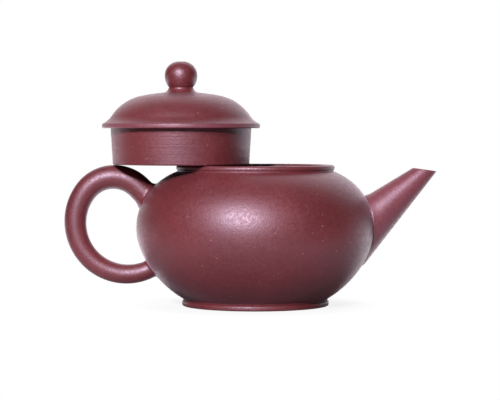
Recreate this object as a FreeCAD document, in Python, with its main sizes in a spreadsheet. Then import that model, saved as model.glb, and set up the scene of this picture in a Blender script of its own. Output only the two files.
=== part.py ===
# Round clay teapot, its lid drawn back to rest on the handle and on the mouth ring.
#
# The pot stands on its foot ring at z = 0, around the Z axis. The spout points along +X and the
# handle lies on the -X side. Lengths are millimetres and angles are degrees.
import FreeCAD, Part
import Sketcher

import math
import os

# Driving dimensions, each of which can be set by itself.
SIZES = {
    # belly of the pot
    "belly_diameter": 83.3,
    "belly_height": 27.1,
    "belly_curve": 20.4,
    "shoulder_turn": 46.0,
    "lower_turn": 23.0,
    "shoulder_rise": 19.8,
    "wall": 2.6,
    "base_thickness": 3.0,
    "throat_thickness": 1.9,
    # ring around the mouth
    "mouth_bore": 49.8,
    "mouth_ring_width": 2.8,
    "mouth_ring_height": 2.2,
    "rim_groove_depth": 0.35,
    "rim_groove_height": 0.5,
    "rim_round": 0.8,
    # ring that the pot stands on
    "foot_diameter": 51.4,
    "foot_height": 2.5,
    "foot_width": 3.6,
    "foot_bead_height": 1.65,
    "foot_groove_depth": 0.25,
    "foot_round": 0.5,
    # spout
    "spout_rise": 4.0,
    "spout_angle": 41.75,
    "spout_length": 24.5,
    "spout_root_diameter": 15.4,
    "spout_tip_diameter": 6.3,
    "spout_root_bore": 11.0,
    "spout_tip_bore": 4.4,
    "spout_sink": 13.0,
    "spout_lip_slope": 8.0,
    # pierced dome behind the spout
    "strainer_diameter": 17.0,
    "strainer_wall": 1.5,
    "strainer_hole": 1.8,
    # handle
    "handle_offset": 7.9,
    "handle_upper_curve": 12.35,
    "handle_lower_curve": 18.2,
    "handle_start": 45.0,
    "handle_turn": 143.0,
    "handle_end": 295.0,
    "handle_sink": 8.0,
    "handle_upper_diameter": 8.9,
    "handle_top_diameter": 8.4,
    "handle_lower_diameter": 6.2,
    # lid
    "lid_clearance": 0.3,
    "lid_setback": 0.1,
    "lid_plate_thickness": 1.5,
    "lid_round": 0.5,
    "flange_depth": 12.7,
    "flange_draft": 0.75,
    "flange_wall": 2.4,
    "flange_round": 0.45,
    "dome_rise": 11.2,
    "dome_wall": 2.4,
    "crown_curve": 71.0,
    "crown_turn": 11.0,
    "flare_width": 3.3,
    "flare_rise": 2.7,
    # knob of the lid
    "knob_diameter": 11.35,
    "knob_rise": 5.8,
    "knob_cap": 5.0,
    "knob_round": 4.0,
    "knob_neck_diameter": 8.5,
    "knob_neck_height": 0.5,
    "knob_flare": 1.6,
    "knob_base_diameter": 10.4,
    "vent_diameter": 2.2,
    # where the lid is parked
    "lid_overlap": 0.3,
    "lid_rest_gap": 0.15,
}

# Radii, heights and places worked out from the driving dimensions.
PLACES = {
    # belly of the pot
    "belly_radius": "Sizes.belly_diameter / 2",
    "belly_centre": "belly_radius - Sizes.belly_curve",
    "neck_height": "Sizes.belly_height + Sizes.shoulder_rise",
    "rim_height": "neck_height + Sizes.mouth_ring_height",
    "bore_radius": "Sizes.mouth_bore / 2",
    "rim_radius": "bore_radius + Sizes.mouth_ring_width",
    "neck_radius": "rim_radius - Sizes.rim_groove_depth",
    "groove_top": "neck_height + Sizes.rim_groove_height",
    "rim_bead_bottom": "groove_top + Sizes.rim_groove_depth",
    "foot_radius": "Sizes.foot_diameter / 2",
    "foot_bore_radius": "foot_radius - Sizes.foot_width",
    "base_radius": "foot_radius - Sizes.foot_groove_depth",
    "foot_bead_top": "Sizes.foot_bead_height - Sizes.foot_groove_depth",
    "shoulder_start_radius": "belly_centre + Sizes.belly_curve * cos(Sizes.shoulder_turn)",
    "shoulder_start_height": "Sizes.belly_height + Sizes.belly_curve * sin(Sizes.shoulder_turn)",
    "lower_start_radius": "belly_centre + Sizes.belly_curve * cos(Sizes.lower_turn)",
    "lower_start_height": "Sizes.belly_height - Sizes.belly_curve * sin(Sizes.lower_turn)",
    # hollow of the pot
    "inner_curve": "Sizes.belly_curve - Sizes.wall",
    "inner_shoulder_radius": "belly_centre + inner_curve * cos(Sizes.shoulder_turn)",
    "inner_shoulder_height": "Sizes.belly_height + inner_curve * sin(Sizes.shoulder_turn)",
    "inner_lower_radius": "belly_centre + inner_curve * cos(Sizes.lower_turn)",
    "inner_lower_height": "Sizes.belly_height - inner_curve * sin(Sizes.lower_turn)",
    "floor_height": "Sizes.foot_height + Sizes.base_thickness",
    "throat_height": "neck_height - Sizes.throat_thickness",
    # spout, along its own axis from where it leaves the widest line of the belly
    "spout_root_height": "Sizes.belly_height + Sizes.spout_rise",
    "spout_tilt": "90 - Sizes.spout_angle",
    "spout_taper": "(Sizes.spout_root_diameter - Sizes.spout_tip_diameter) / 2 / Sizes.spout_length",
    "bore_taper": "(Sizes.spout_root_bore - Sizes.spout_tip_bore) / 2 / Sizes.spout_length",
    "spout_far_end": "Sizes.spout_length + Sizes.spout_tip_diameter",
    "spout_near_end": "-Sizes.spout_sink",
    "spout_near_radius": "Sizes.spout_root_diameter / 2 + Sizes.spout_sink * spout_taper",
    "spout_far_radius": "Sizes.spout_tip_diameter / 2 - Sizes.spout_tip_diameter * spout_taper",
    "bore_near_radius": "Sizes.spout_root_bore / 2 + Sizes.spout_sink * bore_taper",
    "bore_far_radius": "Sizes.spout_tip_bore / 2 - Sizes.spout_tip_diameter * bore_taper",
    "lip_x": "belly_radius + Sizes.spout_length * cos(Sizes.spout_angle)",
    "lip_height": "spout_root_height + Sizes.spout_length * sin(Sizes.spout_angle)",
    # strainer dome, centred where the spout's axis meets the inner face of the wall
    "strainer_radius": "Sizes.strainer_diameter / 2",
    "strainer_inner_radius": "strainer_radius - Sizes.strainer_wall",
    "drill_start": "strainer_inner_radius - Sizes.strainer_wall",
    "drill_end": "strainer_radius + Sizes.strainer_wall",
    "strainer_x": "belly_radius - Sizes.wall",
    "strainer_height": "spout_root_height - Sizes.wall * tan(Sizes.spout_angle)",
    # centre line of the handle: a run out of the belly, two arcs, and a run back into it
    "handle_top_x": "-(belly_radius + Sizes.handle_offset)",
    "handle_top_height": "rim_height - Sizes.handle_top_diameter / 2",
    "handle_upper_height": "handle_top_height - Sizes.handle_upper_curve",
    "handle_start_x": "handle_top_x + Sizes.handle_upper_curve * cos(Sizes.handle_start)",
    "handle_start_height": "handle_upper_height + Sizes.handle_upper_curve * sin(Sizes.handle_start)",
    "handle_in_x": "handle_start_x + Sizes.handle_sink * sin(Sizes.handle_start)",
    "handle_in_height": "handle_start_height - Sizes.handle_sink * cos(Sizes.handle_start)",
    "handle_turn_x": "handle_top_x + Sizes.handle_upper_curve * cos(Sizes.handle_turn)",
    "handle_turn_height": "handle_upper_height + Sizes.handle_upper_curve * sin(Sizes.handle_turn)",
    "handle_lower_x": "handle_turn_x - Sizes.handle_lower_curve * cos(Sizes.handle_turn)",
    "handle_lower_height": "handle_turn_height - Sizes.handle_lower_curve * sin(Sizes.handle_turn)",
    "handle_end_x": "handle_lower_x + Sizes.handle_lower_curve * cos(Sizes.handle_end)",
    "handle_end_height": "handle_lower_height + Sizes.handle_lower_curve * sin(Sizes.handle_end)",
    "handle_out_x": "handle_end_x - Sizes.handle_sink * sin(Sizes.handle_end)",
    "handle_out_height": "handle_end_height + Sizes.handle_sink * cos(Sizes.handle_end)",
    # lid, above the lower edge of its flange
    "lid_radius": "rim_radius - Sizes.lid_setback",
    "flange_radius": "bore_radius - Sizes.lid_clearance",
    "flange_tip_radius": "flange_radius - Sizes.flange_draft",
    "flange_bore_radius": "flange_radius - Sizes.flange_wall",
    "flange_tip_bore_radius": "flange_tip_radius - Sizes.flange_wall",
    "plate_top": "Sizes.flange_depth + Sizes.lid_plate_thickness",
    "dome_top": "plate_top + Sizes.dome_rise",
    "flare_radius": "lid_radius - Sizes.flare_width",
    "flare_height": "plate_top + Sizes.flare_rise",
    "crown_edge_radius": "Sizes.crown_curve * sin(Sizes.crown_turn)",
    "crown_edge_height": "dome_top - Sizes.crown_curve * (1 - cos(Sizes.crown_turn))",
    "crown_centre": "dome_top - Sizes.crown_curve",
    "inner_crown_curve": "Sizes.crown_curve - Sizes.dome_wall",
    "inner_crown_edge_radius": "inner_crown_curve * sin(Sizes.crown_turn)",
    "inner_crown_edge_height": "crown_centre + inner_crown_curve * cos(Sizes.crown_turn)",
    "vent_radius": "Sizes.vent_diameter / 2",
    "vent_height": "crown_centre + sqrt(inner_crown_curve ^ 2 - vent_radius ^ 2)",
    "knob_base_radius": "Sizes.knob_base_diameter / 2",
    "knob_seat": "crown_centre + sqrt(Sizes.crown_curve ^ 2 - knob_base_radius ^ 2)",
    "knob_radius": "Sizes.knob_diameter / 2",
    "knob_neck_radius": "Sizes.knob_neck_diameter / 2",
    "knob_centre": "knob_seat + Sizes.knob_rise",
    "ball_bottom": "knob_centre - sqrt(knob_radius ^ 2 - knob_neck_radius ^ 2)",
    "neck_bottom": "ball_bottom - Sizes.knob_neck_height",
    "knob_top": "knob_centre + Sizes.knob_cap",
    "knob_flat_radius": "sqrt(knob_radius ^ 2 - Sizes.knob_cap ^ 2)",
    # parked place of the lid: its flange just past the crest of the handle, just above the rim
    "lid_x": "handle_top_x - Sizes.lid_overlap + flange_tip_radius",
    "lid_height": "rim_height + Sizes.lid_rest_gap",
}

# Rings of holes in the strainer dome: angle of each from the pole of the dome, and its count of holes.
STRAINER_RING_ANGLES = [0.0, 28.0, 55.0]
STRAINER_HOLE_COUNTS = [1, 6, 11]

doc = FreeCAD.newDocument("Teapot")


def fill_sheet(name, cells):
    """Make a sheet with one named cell for each entry."""
    sheet = doc.addObject("Spreadsheet::Sheet", name)
    for row, (alias, content) in enumerate(cells.items(), start=1):
        sheet.set(f"A{row}", alias)
        sheet.set(f"B{row}", content)
        sheet.setAlias(f"B{row}", alias)
    doc.recompute()
    return sheet


sizes = fill_sheet("Sizes", {alias: str(value) for alias, value in SIZES.items()})
places = fill_sheet("Places", {alias: f"={formula}" for alias, formula in PLACES.items()})


def cell(alias):
    """The full name of a cell, as expressions use it."""
    return f"Sizes.{alias}" if alias in SIZES else f"Places.{alias}"


def value_of(alias):
    """The number in a cell."""
    return float(sizes.get(alias) if alias in SIZES else places.get(alias))


def bind(thing, **expressions):
    """Tie properties of an object to expressions; a double underscore in a name stands for a dot."""
    for name, expression in expressions.items():
        thing.setExpression(name.replace("__", "."), expression)


# Two lengths closer than this count as the same.
SAME_LENGTH = 1e-4

# Edges of an outline between two neighbouring corners.
LINE = ("line", None)
FLOWS_FROM_LAST = ("tangent", -1)
FLOWS_INTO_NEXT = ("tangent", 1)


def bulge(radius):
    """An arc of the radius in that cell, swelling to the right of its travel."""
    return ("radius", radius)


def dip(radius):
    """An arc of the radius in that cell, swelling to the left of its travel."""
    return ("hollow", radius)


def turn_left(direction):
    """The direction turned by a quarter to its left."""
    return FreeCAD.Vector(-direction.y, direction.x, 0)


def middle_by_radius(start, end, radius, side):
    """Middle of the short arc of that radius; side 1 swells to the left of the chord, -1 to the right."""
    chord = end - start
    sagitta = radius - math.sqrt(radius ** 2 - (chord.Length / 2) ** 2)
    return (start + end) / 2 + turn_left(chord).normalize() * (side * sagitta)


def middle_by_tangent(start, end, direction):
    """Middle of the arc that leaves start in the given direction and ends at end."""
    chord = end - start
    across = turn_left(chord)
    angle = math.atan2(direction.dot(across), direction.dot(chord))
    return (start + end) / 2 + across * (math.tan(angle / 2) / 2)


def arc_through(start, middle, end):
    """The arc through three points, with the numbers of its first and last point."""
    through = Part.Circle(start, middle, end)
    first = math.atan2(start.y - through.Center.y, start.x - through.Center.x)
    last = math.atan2(end.y - through.Center.y, end.x - through.Center.x)
    counterclockwise = (middle - start).cross(end - middle).z > 0
    low, high = (first, last) if counterclockwise else (last, first)
    if high < low:
        high += 2 * math.pi
    circle = Part.Circle(through.Center, FreeCAD.Vector(0, 0, 1), through.Radius)
    return Part.ArcOfCircle(circle, low, high), ((1, 2) if counterclockwise else (2, 1))


def end_direction(start, middle, end):
    """Direction in which the arc start-middle-end arrives at its end."""
    chord = end - start
    half = middle - start
    angle = math.atan2(half.cross(chord).z, half.dot(chord))
    turn = FreeCAD.Rotation(FreeCAD.Vector(0, 0, 1), math.degrees(2 * angle))
    return turn.multVec(chord)


def arc_middles(points, edges):
    """Middle points of all the arcs of an outline, those of given radius first."""
    ends = [(points[index], points[(index + 1) % len(points)]) for index in range(len(edges))]
    middles = {}
    for index, (kind, detail) in enumerate(edges):
        if kind in ("radius", "hollow"):
            side = -1 if kind == "radius" else 1
            middles[index] = middle_by_radius(*ends[index], value_of(detail), side)
    waiting = [index for index, (kind, detail) in enumerate(edges) if kind == "tangent"]
    while waiting:
        index = next(i for i in waiting if i + edges[i][1] in middles)
        start, end = ends[index]
        neighbour = index + edges[index][1]
        if edges[index][1] == -1:
            direction = end_direction(ends[neighbour][0], middles[neighbour], ends[neighbour][1])
            middles[index] = middle_by_tangent(start, end, direction)
        else:
            direction = end_direction(ends[neighbour][1], middles[neighbour], ends[neighbour][0])
            middles[index] = middle_by_tangent(end, start, direction)
        waiting.remove(index)
    return ends, middles


def locate(sketch, geometry, point, axis, alias):
    """Tie one coordinate of a sketch point to a cell, or to the sketch's own axis where alias is None."""
    if alias is None:
        own_axis = -2 if axis == "DistanceX" else -1
        sketch.addConstraint(Sketcher.Constraint("PointOnObject", geometry, point, own_axis))
        return
    number = sketch.addConstraint(
        Sketcher.Constraint(axis, -1, 1, geometry, point, value_of(alias)))
    sketch.setExpression(f"Constraints[{number}]", cell(alias))


def draw(sketch, corners, edges):
    """Draw an outline: corners are pairs of cells, edges join each corner to the next.

    The outline is closed when there are as many edges as corners, and open with one edge less.
    """
    points = [FreeCAD.Vector(*[value_of(alias) if alias else 0.0 for alias in corner])
              for corner in corners]
    ends, middles = arc_middles(points, edges)
    drawn = []
    for index, (start, end) in enumerate(ends):
        if index in middles:
            geometry, point_numbers = arc_through(start, middles[index], end)
        else:
            geometry, point_numbers = Part.LineSegment(start, end), (1, 2)
        drawn.append((sketch.addGeometry(geometry), *point_numbers))
    smooth = {index + min(edges[index][1], 0)
              for index, (kind, detail) in enumerate(edges) if kind == "tangent"}
    for index in range(len(corners) if len(edges) == len(corners) else len(edges) - 1):
        number, _, last = drawn[index]
        following, first, _ = drawn[(index + 1) % len(drawn)]
        joint = "Tangent" if index in smooth else "Coincident"
        sketch.addConstraint(Sketcher.Constraint(joint, number, last, following, first))
    for index, (radius_alias, height_alias) in enumerate(corners):
        number, first, last = drawn[min(index, len(drawn) - 1)]
        point = first if index < len(drawn) else last
        locate(sketch, number, point, "DistanceX", radius_alias)
        locate(sketch, number, point, "DistanceY", height_alias)
    for (number, _, _), (kind, detail) in zip(drawn, edges):
        if kind in ("radius", "hollow"):
            radius = sketch.addConstraint(
                Sketcher.Constraint("Radius", number, value_of(detail)))
            sketch.setExpression(f"Constraints[{radius}]", cell(detail))


def upright_sketch(body, name):
    """A sketch on the body's own XZ plane."""
    plane = next(item for item in body.Origin.OriginFeatures if item.Role == "XZ_Plane")
    sketch = body.newObject("Sketcher::SketchObject", name)
    sketch.AttachmentSupport = [(plane, "")]
    sketch.MapMode = "FlatFace"
    return sketch


def turned(label, corners, edges):
    """A body turned around its Z axis from an outline of radii and heights."""
    body = doc.addObject("PartDesign::Body", label)
    body.Label = label
    sketch = upright_sketch(body, f"{label}_outline")
    draw(sketch, corners, edges)
    revolution = body.newObject("PartDesign::Revolution", f"{label}_turned")
    revolution.Profile = sketch
    revolution.ReferenceAxis = (sketch, ["V_Axis"])
    revolution.Angle = 360
    body.Tip = revolution
    doc.recompute()
    return body


def round_edge(body, radius_alias, height_alias, rounding):
    """Round the circular edge of a turned body that has this radius and height."""
    base = body.Tip
    height = value_of(height_alias) if height_alias else 0.0
    names = []
    for index, edge in enumerate(base.Shape.Edges, start=1):
        if not isinstance(edge.Curve, Part.Circle):
            continue
        same_radius = abs(edge.Curve.Radius - value_of(radius_alias)) < SAME_LENGTH
        same_height = abs(edge.Curve.Center.z - height) < SAME_LENGTH
        if same_radius and same_height:
            names.append(f"Edge{index}")
    fillet = body.newObject("PartDesign::Fillet", f"{body.Name}_round")
    fillet.Base = (base, names)
    bind(fillet, Radius=cell(rounding))
    body.Tip = fillet
    doc.recompute()


def boolean(kind, label, base, tool):
    """The base with the tool cut away, or what the two have in common."""
    result = doc.addObject(f"Part::{kind}", label)
    result.Label = label
    result.Base = base
    result.Tool = tool
    doc.recompute()
    return result


def slab(label, low, high):
    """A round slab, wider than the pot, between two heights."""
    disc = doc.addObject("Part::Cylinder", label)
    bind(disc, Radius="Sizes.belly_diameter", Height=f"{cell(high)} - {cell(low)}",
         Placement__Base__z=cell(low))
    return disc


# Outer form and hollow of the belly, which trim the pieces that meet it.
pot_form = turned(
    "pot_form",
    [(None, "foot_height"), ("base_radius", "foot_height"),
     ("lower_start_radius", "lower_start_height"),
     ("shoulder_start_radius", "shoulder_start_height"),
     ("neck_radius", "neck_height"), (None, "neck_height")],
    [LINE, FLOWS_INTO_NEXT, bulge("belly_curve"), FLOWS_FROM_LAST, LINE, LINE])
pot_hollow = turned(
    "pot_hollow",
    [(None, "floor_height"), ("base_radius", "floor_height"),
     ("inner_lower_radius", "inner_lower_height"),
     ("inner_shoulder_radius", "inner_shoulder_height"),
     ("bore_radius", "throat_height"), ("bore_radius", "rim_height"), (None, "rim_height")],
    [LINE, FLOWS_INTO_NEXT, bulge("inner_curve"), FLOWS_FROM_LAST, LINE, LINE, LINE])
clay_shell = boolean("Cut", "clay_shell", pot_form, pot_hollow)


def along_spout(thing):
    """Stand an object made along +Z on the spout's axis."""
    thing.Placement = FreeCAD.Placement(
        FreeCAD.Vector(), FreeCAD.Rotation(FreeCAD.Vector(0, 1, 0), value_of("spout_tilt")))
    bind(thing, Placement__Base__x=cell("belly_radius"),
         Placement__Base__z=cell("spout_root_height"),
         Placement__Rotation__Angle=cell("spout_tilt"))


def make_base_disc():
    band = slab("base_band", "foot_height", "floor_height")
    return boolean("Common", "base_disc", clay_shell, band)


def make_shoulder_disc():
    band = slab("shoulder_band", "shoulder_start_height", "neck_height")
    return boolean("Common", "shoulder_disc", clay_shell, band)


def make_spout_bore():
    """The tapered hollow that runs from inside the wall out of the tip of the spout."""
    bore = doc.addObject("Part::Cone", "spout_bore")
    along_spout(bore)
    start = cell("spout_near_end")
    tilt = cell("spout_tilt")
    bind(bore, Radius1=cell("bore_near_radius"), Radius2=cell("bore_far_radius"),
         Height=f"{cell('spout_far_end')} - {start}",
         Placement__Base__x=f"{cell('belly_radius')} + {start} * sin({tilt})",
         Placement__Base__z=f"{cell('spout_root_height')} + {start} * cos({tilt})")
    doc.recompute()
    return bore


def make_belly_wall(spout_bore):
    band = slab("belly_band", "floor_height", "shoulder_start_height")
    closed_wall = boolean("Common", "closed_wall", clay_shell, band)
    return boolean("Cut", "belly_wall", closed_wall, spout_bore)


def make_foot_ring():
    ring = turned(
        "foot_ring",
        [("foot_bore_radius", None), ("foot_radius", None),
         ("foot_radius", "foot_bead_top"), ("base_radius", "foot_bead_height"),
         ("base_radius", "foot_height"), ("foot_bore_radius", "foot_height")],
        [LINE, LINE, bulge("foot_groove_depth"), LINE, LINE, LINE])
    round_edge(ring, "foot_radius", None, "foot_round")
    return ring


def make_mouth_ring():
    ring = turned(
        "mouth_ring",
        [("bore_radius", "neck_height"), ("neck_radius", "neck_height"),
         ("neck_radius", "groove_top"), ("rim_radius", "rim_bead_bottom"),
         ("rim_radius", "rim_height"), ("bore_radius", "rim_height")],
        [LINE, LINE, bulge("rim_groove_depth"), LINE, LINE, LINE])
    round_edge(ring, "rim_radius", "rim_height", "rim_round")
    round_edge(ring, "bore_radius", "rim_height", "rim_round")
    return ring


def make_spout(spout_bore):
    """A tapered tube on its own axis, cut off at the lip and trimmed to the belly."""
    cone = turned(
        "spout_cone",
        [(None, "spout_near_end"), ("spout_near_radius", "spout_near_end"),
         ("spout_far_radius", "spout_far_end"), (None, "spout_far_end")],
        [LINE] * 4)
    along_spout(cone)
    lip = doc.addObject("Part::Box", "lip_cut")
    lip.Placement = FreeCAD.Placement(
        FreeCAD.Vector(), FreeCAD.Rotation(FreeCAD.Vector(0, 1, 0), value_of("spout_lip_slope")))
    half_side = "Sizes.spout_root_diameter"
    side = f"2 * {half_side}"
    slope = "Sizes.spout_lip_slope"
    bind(lip, Length=side, Width=side, Height=side, Placement__Rotation__Angle=slope,
         Placement__Base__x=f"{cell('lip_x')} - {half_side} * cos({slope})",
         Placement__Base__y=f"-{half_side}",
         Placement__Base__z=f"{cell('lip_height')} + {half_side} * sin({slope})")
    doc.recompute()
    cut_cone = boolean("Cut", "cut_cone", cone, lip)
    tube = boolean("Cut", "spout_tube", cut_cone, spout_bore)
    return boolean("Cut", "spout", tube, pot_form)


def make_strainer_dome():
    """A thin ball over the spout hole, trimmed by the hollow and pierced by rings of holes."""
    centre = {"Placement__Base__x": cell("strainer_x"), "Placement__Base__z": cell("strainer_height")}
    outer = doc.addObject("Part::Sphere", "strainer_outer")
    bind(outer, Radius=cell("strainer_radius"), **centre)
    inner = doc.addObject("Part::Sphere", "strainer_inner")
    bind(inner, Radius=cell("strainer_inner_radius"), **centre)
    doc.recompute()
    ball = boolean("Cut", "strainer_ball", outer, inner)
    blank = boolean("Common", "strainer_blank", ball, pot_hollow)
    start = cell("drill_start")
    drills = []
    inward = FreeCAD.Vector(-1, 0, 0)
    for polar, count in zip(STRAINER_RING_ANGLES, STRAINER_HOLE_COUNTS):
        lean = FreeCAD.Rotation(FreeCAD.Vector(0, 1, 0), polar)
        for index in range(count):
            spin = FreeCAD.Rotation(inward, 360.0 * index / count)
            outward = spin.multVec(lean.multVec(inward))
            drill = doc.addObject("Part::Cylinder", "strainer_drill")
            drill.Placement = FreeCAD.Placement(
                FreeCAD.Vector(), FreeCAD.Rotation(FreeCAD.Vector(0, 0, 1), outward))
            bind(drill, Radius="Sizes.strainer_hole / 2", Height=f"{cell('drill_end')} - {start}",
                 Placement__Base__x=f"{cell('strainer_x')} + {outward.x} * {start}",
                 Placement__Base__y=f"{outward.y} * {start}",
                 Placement__Base__z=f"{cell('strainer_height')} + {outward.z} * {start}")
            drills.append(drill)
    drill_set = doc.addObject("Part::Compound", "strainer_drills")
    drill_set.Links = drills
    doc.recompute()
    return boolean("Cut", "strainer_dome", blank, drill_set)


def handle_section(label, diameter, x, height, angle):
    """A round section of the handle, square to its centre line at the given turn."""
    circle = doc.addObject("Part::Circle", label)
    circle.Placement = FreeCAD.Placement(
        FreeCAD.Vector(), FreeCAD.Rotation(FreeCAD.Vector(0, 1, 0), 0))
    bind(circle, Radius=f"{cell(diameter)} / 2", Placement__Base__x=cell(x),
         Placement__Base__z=cell(height), Placement__Rotation__Angle=angle)
    return circle


def make_handle():
    path = doc.addObject("Sketcher::SketchObject", "handle_path")
    path.Placement = FreeCAD.Placement(
        FreeCAD.Vector(), FreeCAD.Rotation(FreeCAD.Vector(1, 0, 0), 90))
    draw(path,
         [("handle_in_x", "handle_in_height"), ("handle_start_x", "handle_start_height"),
          ("handle_top_x", "handle_top_height"), ("handle_turn_x", "handle_turn_height"),
          ("handle_end_x", "handle_end_height"), ("handle_out_x", "handle_out_height")],
         [LINE, bulge("handle_upper_curve"), bulge("handle_upper_curve"), FLOWS_FROM_LAST, LINE])
    sections = [
        handle_section("handle_upper_section", "handle_upper_diameter",
                       "handle_in_x", "handle_in_height", "180 - Sizes.handle_start"),
        handle_section("handle_top_section", "handle_top_diameter",
                       "handle_top_x", "handle_top_height", "90"),
        handle_section("handle_lower_section", "handle_lower_diameter",
                       "handle_out_x", "handle_out_height", "180 - Sizes.handle_end"),
    ]
    doc.recompute()
    rod = doc.addObject("Part::Sweep", "handle_rod")
    rod.Sections = sections
    rod.Spine = (path, [f"Edge{number + 1}" for number in range(len(path.Shape.Edges))])
    rod.Solid = True
    doc.recompute()
    return boolean("Cut", "handle", rod, pot_form)


def park(piece):
    """Put a piece of the lid, made on the Z axis, where the lid lies."""
    bind(piece, Placement__Base__x=cell("lid_x"), Placement__Base__z=cell("lid_height"))


def make_lid_flange():
    flange = turned(
        "lid_flange",
        [("flange_tip_bore_radius", None), ("flange_tip_radius", None),
         ("flange_radius", "flange_depth"), ("flange_bore_radius", "flange_depth")],
        [LINE] * 4)
    round_edge(flange, "flange_tip_radius", None, "flange_round")
    round_edge(flange, "flange_tip_bore_radius", None, "flange_round")
    park(flange)
    return flange


def make_lid_plate():
    plate = turned(
        "lid_plate",
        [("flange_bore_radius", "flange_depth"), ("lid_radius", "flange_depth"),
         ("lid_radius", "plate_top"), ("flange_bore_radius", "plate_top")],
        [LINE] * 4)
    round_edge(plate, "lid_radius", "flange_depth", "lid_round")
    park(plate)
    return plate


def make_lid_dome():
    dome = turned(
        "lid_dome",
        [("vent_radius", "vent_height"), ("inner_crown_edge_radius", "inner_crown_edge_height"),
         ("flange_bore_radius", "plate_top"), ("lid_radius", "plate_top"),
         ("flare_radius", "flare_height"), ("crown_edge_radius", "crown_edge_height"),
         ("knob_base_radius", "knob_seat"), ("vent_radius", "knob_seat")],
        [dip("inner_crown_curve"), FLOWS_FROM_LAST, LINE, FLOWS_INTO_NEXT, FLOWS_INTO_NEXT,
         bulge("crown_curve"), LINE, LINE])
    park(dome)
    return dome


def make_knob():
    knob = turned(
        "knob",
        [("vent_radius", "knob_seat"), ("knob_base_radius", "knob_seat"),
         ("knob_neck_radius", "neck_bottom"), ("knob_neck_radius", "ball_bottom"),
         ("knob_radius", "knob_centre"), ("knob_flat_radius", "knob_top"),
         ("vent_radius", "knob_top")],
        [LINE, dip("knob_flare"), LINE, bulge("knob_radius"), bulge("knob_radius"), LINE, LINE])
    round_edge(knob, "knob_flat_radius", "knob_top", "knob_round")
    park(knob)
    return knob


bore = make_spout_bore()
sub_parts = [
    make_belly_wall(bore),
    make_shoulder_disc(),
    make_base_disc(),
    make_foot_ring(),
    make_mouth_ring(),
    make_spout(bore),
    make_strainer_dome(),
    make_handle(),
    make_lid_flange(),
    make_lid_plate(),
    make_lid_dome(),
    make_knob(),
]
doc.recompute()

# Every object has to be sound before anything is written.
for thing in doc.Objects:
    if "Invalid" in thing.State or "Error" in thing.State:
        raise RuntimeError(f"{thing.Label} could not be built: {thing.State}")
for piece in sub_parts:
    if piece.Shape.isNull() or not piece.Shape.isValid():
        raise RuntimeError(f"{piece.Label} has no sound shape")

os.makedirs("parts", exist_ok=True)
for piece in sub_parts:
    piece.Shape.exportStep(f"parts/{piece.Label}.step")
    print(f"{piece.Label}: {len(piece.Shape.Solids)} solid, {piece.Shape.Volume:.1f} mm3")
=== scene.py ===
# %% [markdown]
# # A round clay teapot, dressed for its portrait
#
# The pot is small, about thirteen centimetres from handle to spout, and it is built by hand from
# purple clay. Its maker forms every piece by itself, lutes the pieces together with wet slip and
# burnishes the outside with a strip of horn before the firing. The lid has been lifted off and
# parked on the handle and on the edge of the mouth.
#
# The solid model already holds the true sizes. This lesson loads it as a fixed frame and makes a
# finer skin for every piece: soft edges, tool marks, slip joints and the speckled clay itself.

import math

import bmesh
import bpy
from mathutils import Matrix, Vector


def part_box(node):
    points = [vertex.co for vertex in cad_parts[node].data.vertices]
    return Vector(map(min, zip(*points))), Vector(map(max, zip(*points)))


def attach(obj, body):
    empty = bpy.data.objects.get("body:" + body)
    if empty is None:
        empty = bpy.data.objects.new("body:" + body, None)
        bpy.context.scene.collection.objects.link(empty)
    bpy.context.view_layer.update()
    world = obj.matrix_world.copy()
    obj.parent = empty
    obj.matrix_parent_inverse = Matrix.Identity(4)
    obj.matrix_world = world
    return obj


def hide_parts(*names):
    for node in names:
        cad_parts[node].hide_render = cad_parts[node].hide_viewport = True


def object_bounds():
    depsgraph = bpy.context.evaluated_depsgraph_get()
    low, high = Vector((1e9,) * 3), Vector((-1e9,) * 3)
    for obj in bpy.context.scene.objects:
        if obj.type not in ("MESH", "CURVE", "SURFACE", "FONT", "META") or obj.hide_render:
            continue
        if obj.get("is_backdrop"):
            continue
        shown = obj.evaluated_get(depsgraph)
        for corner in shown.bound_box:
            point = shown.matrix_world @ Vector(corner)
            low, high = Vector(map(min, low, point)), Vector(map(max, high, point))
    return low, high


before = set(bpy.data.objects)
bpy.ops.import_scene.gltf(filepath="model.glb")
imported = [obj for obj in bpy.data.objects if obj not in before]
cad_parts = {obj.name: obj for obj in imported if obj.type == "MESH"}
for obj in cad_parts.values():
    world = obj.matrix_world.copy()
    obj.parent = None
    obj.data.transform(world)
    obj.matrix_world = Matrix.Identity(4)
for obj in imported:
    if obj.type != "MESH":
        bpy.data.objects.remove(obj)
cad_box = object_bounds()
MM = 0.001
print("pieces of the solid model:", ", ".join(sorted(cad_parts)))

# %% [markdown]
# ## Measuring the frame
#
# Nearly every piece of the pot is round about an upright axis, so two kinds of measure are enough:
# how far a piece reaches from its axis, and at which heights it begins and ends. Reading them from
# the solids keeps the skins in step with the model when a size changes there.


# %% Reach and height of a round piece
def reach(node, axis_x=0.0):
    """Smallest and largest distance of a piece from its upright axis."""
    distances = [math.hypot(v.co.x - axis_x, v.co.y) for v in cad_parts[node].data.vertices]
    return min(distances), max(distances)


def heights(node):
    """Lowest and highest point of a piece."""
    low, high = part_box(node)
    return low.z, high.z


belly_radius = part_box("belly_wall")[1].y
floor_height, shoulder_seam = heights("belly_wall")
foot_bore, foot_radius = reach("foot_ring")
foot_top = heights("foot_ring")[1]
mouth_bore, rim_radius = reach("mouth_ring")
neck_height, rim_height = heights("mouth_ring")
lid_low, lid_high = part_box("lid_plate")
lid_axis = (lid_low.x + lid_high.x) / 2
print(f"belly {2000 * belly_radius:.1f} mm wide, rim {1000 * rim_height:.1f} mm high,"
      f" lid parked {-1000 * lid_axis:.1f} mm off the pot's axis")

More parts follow.
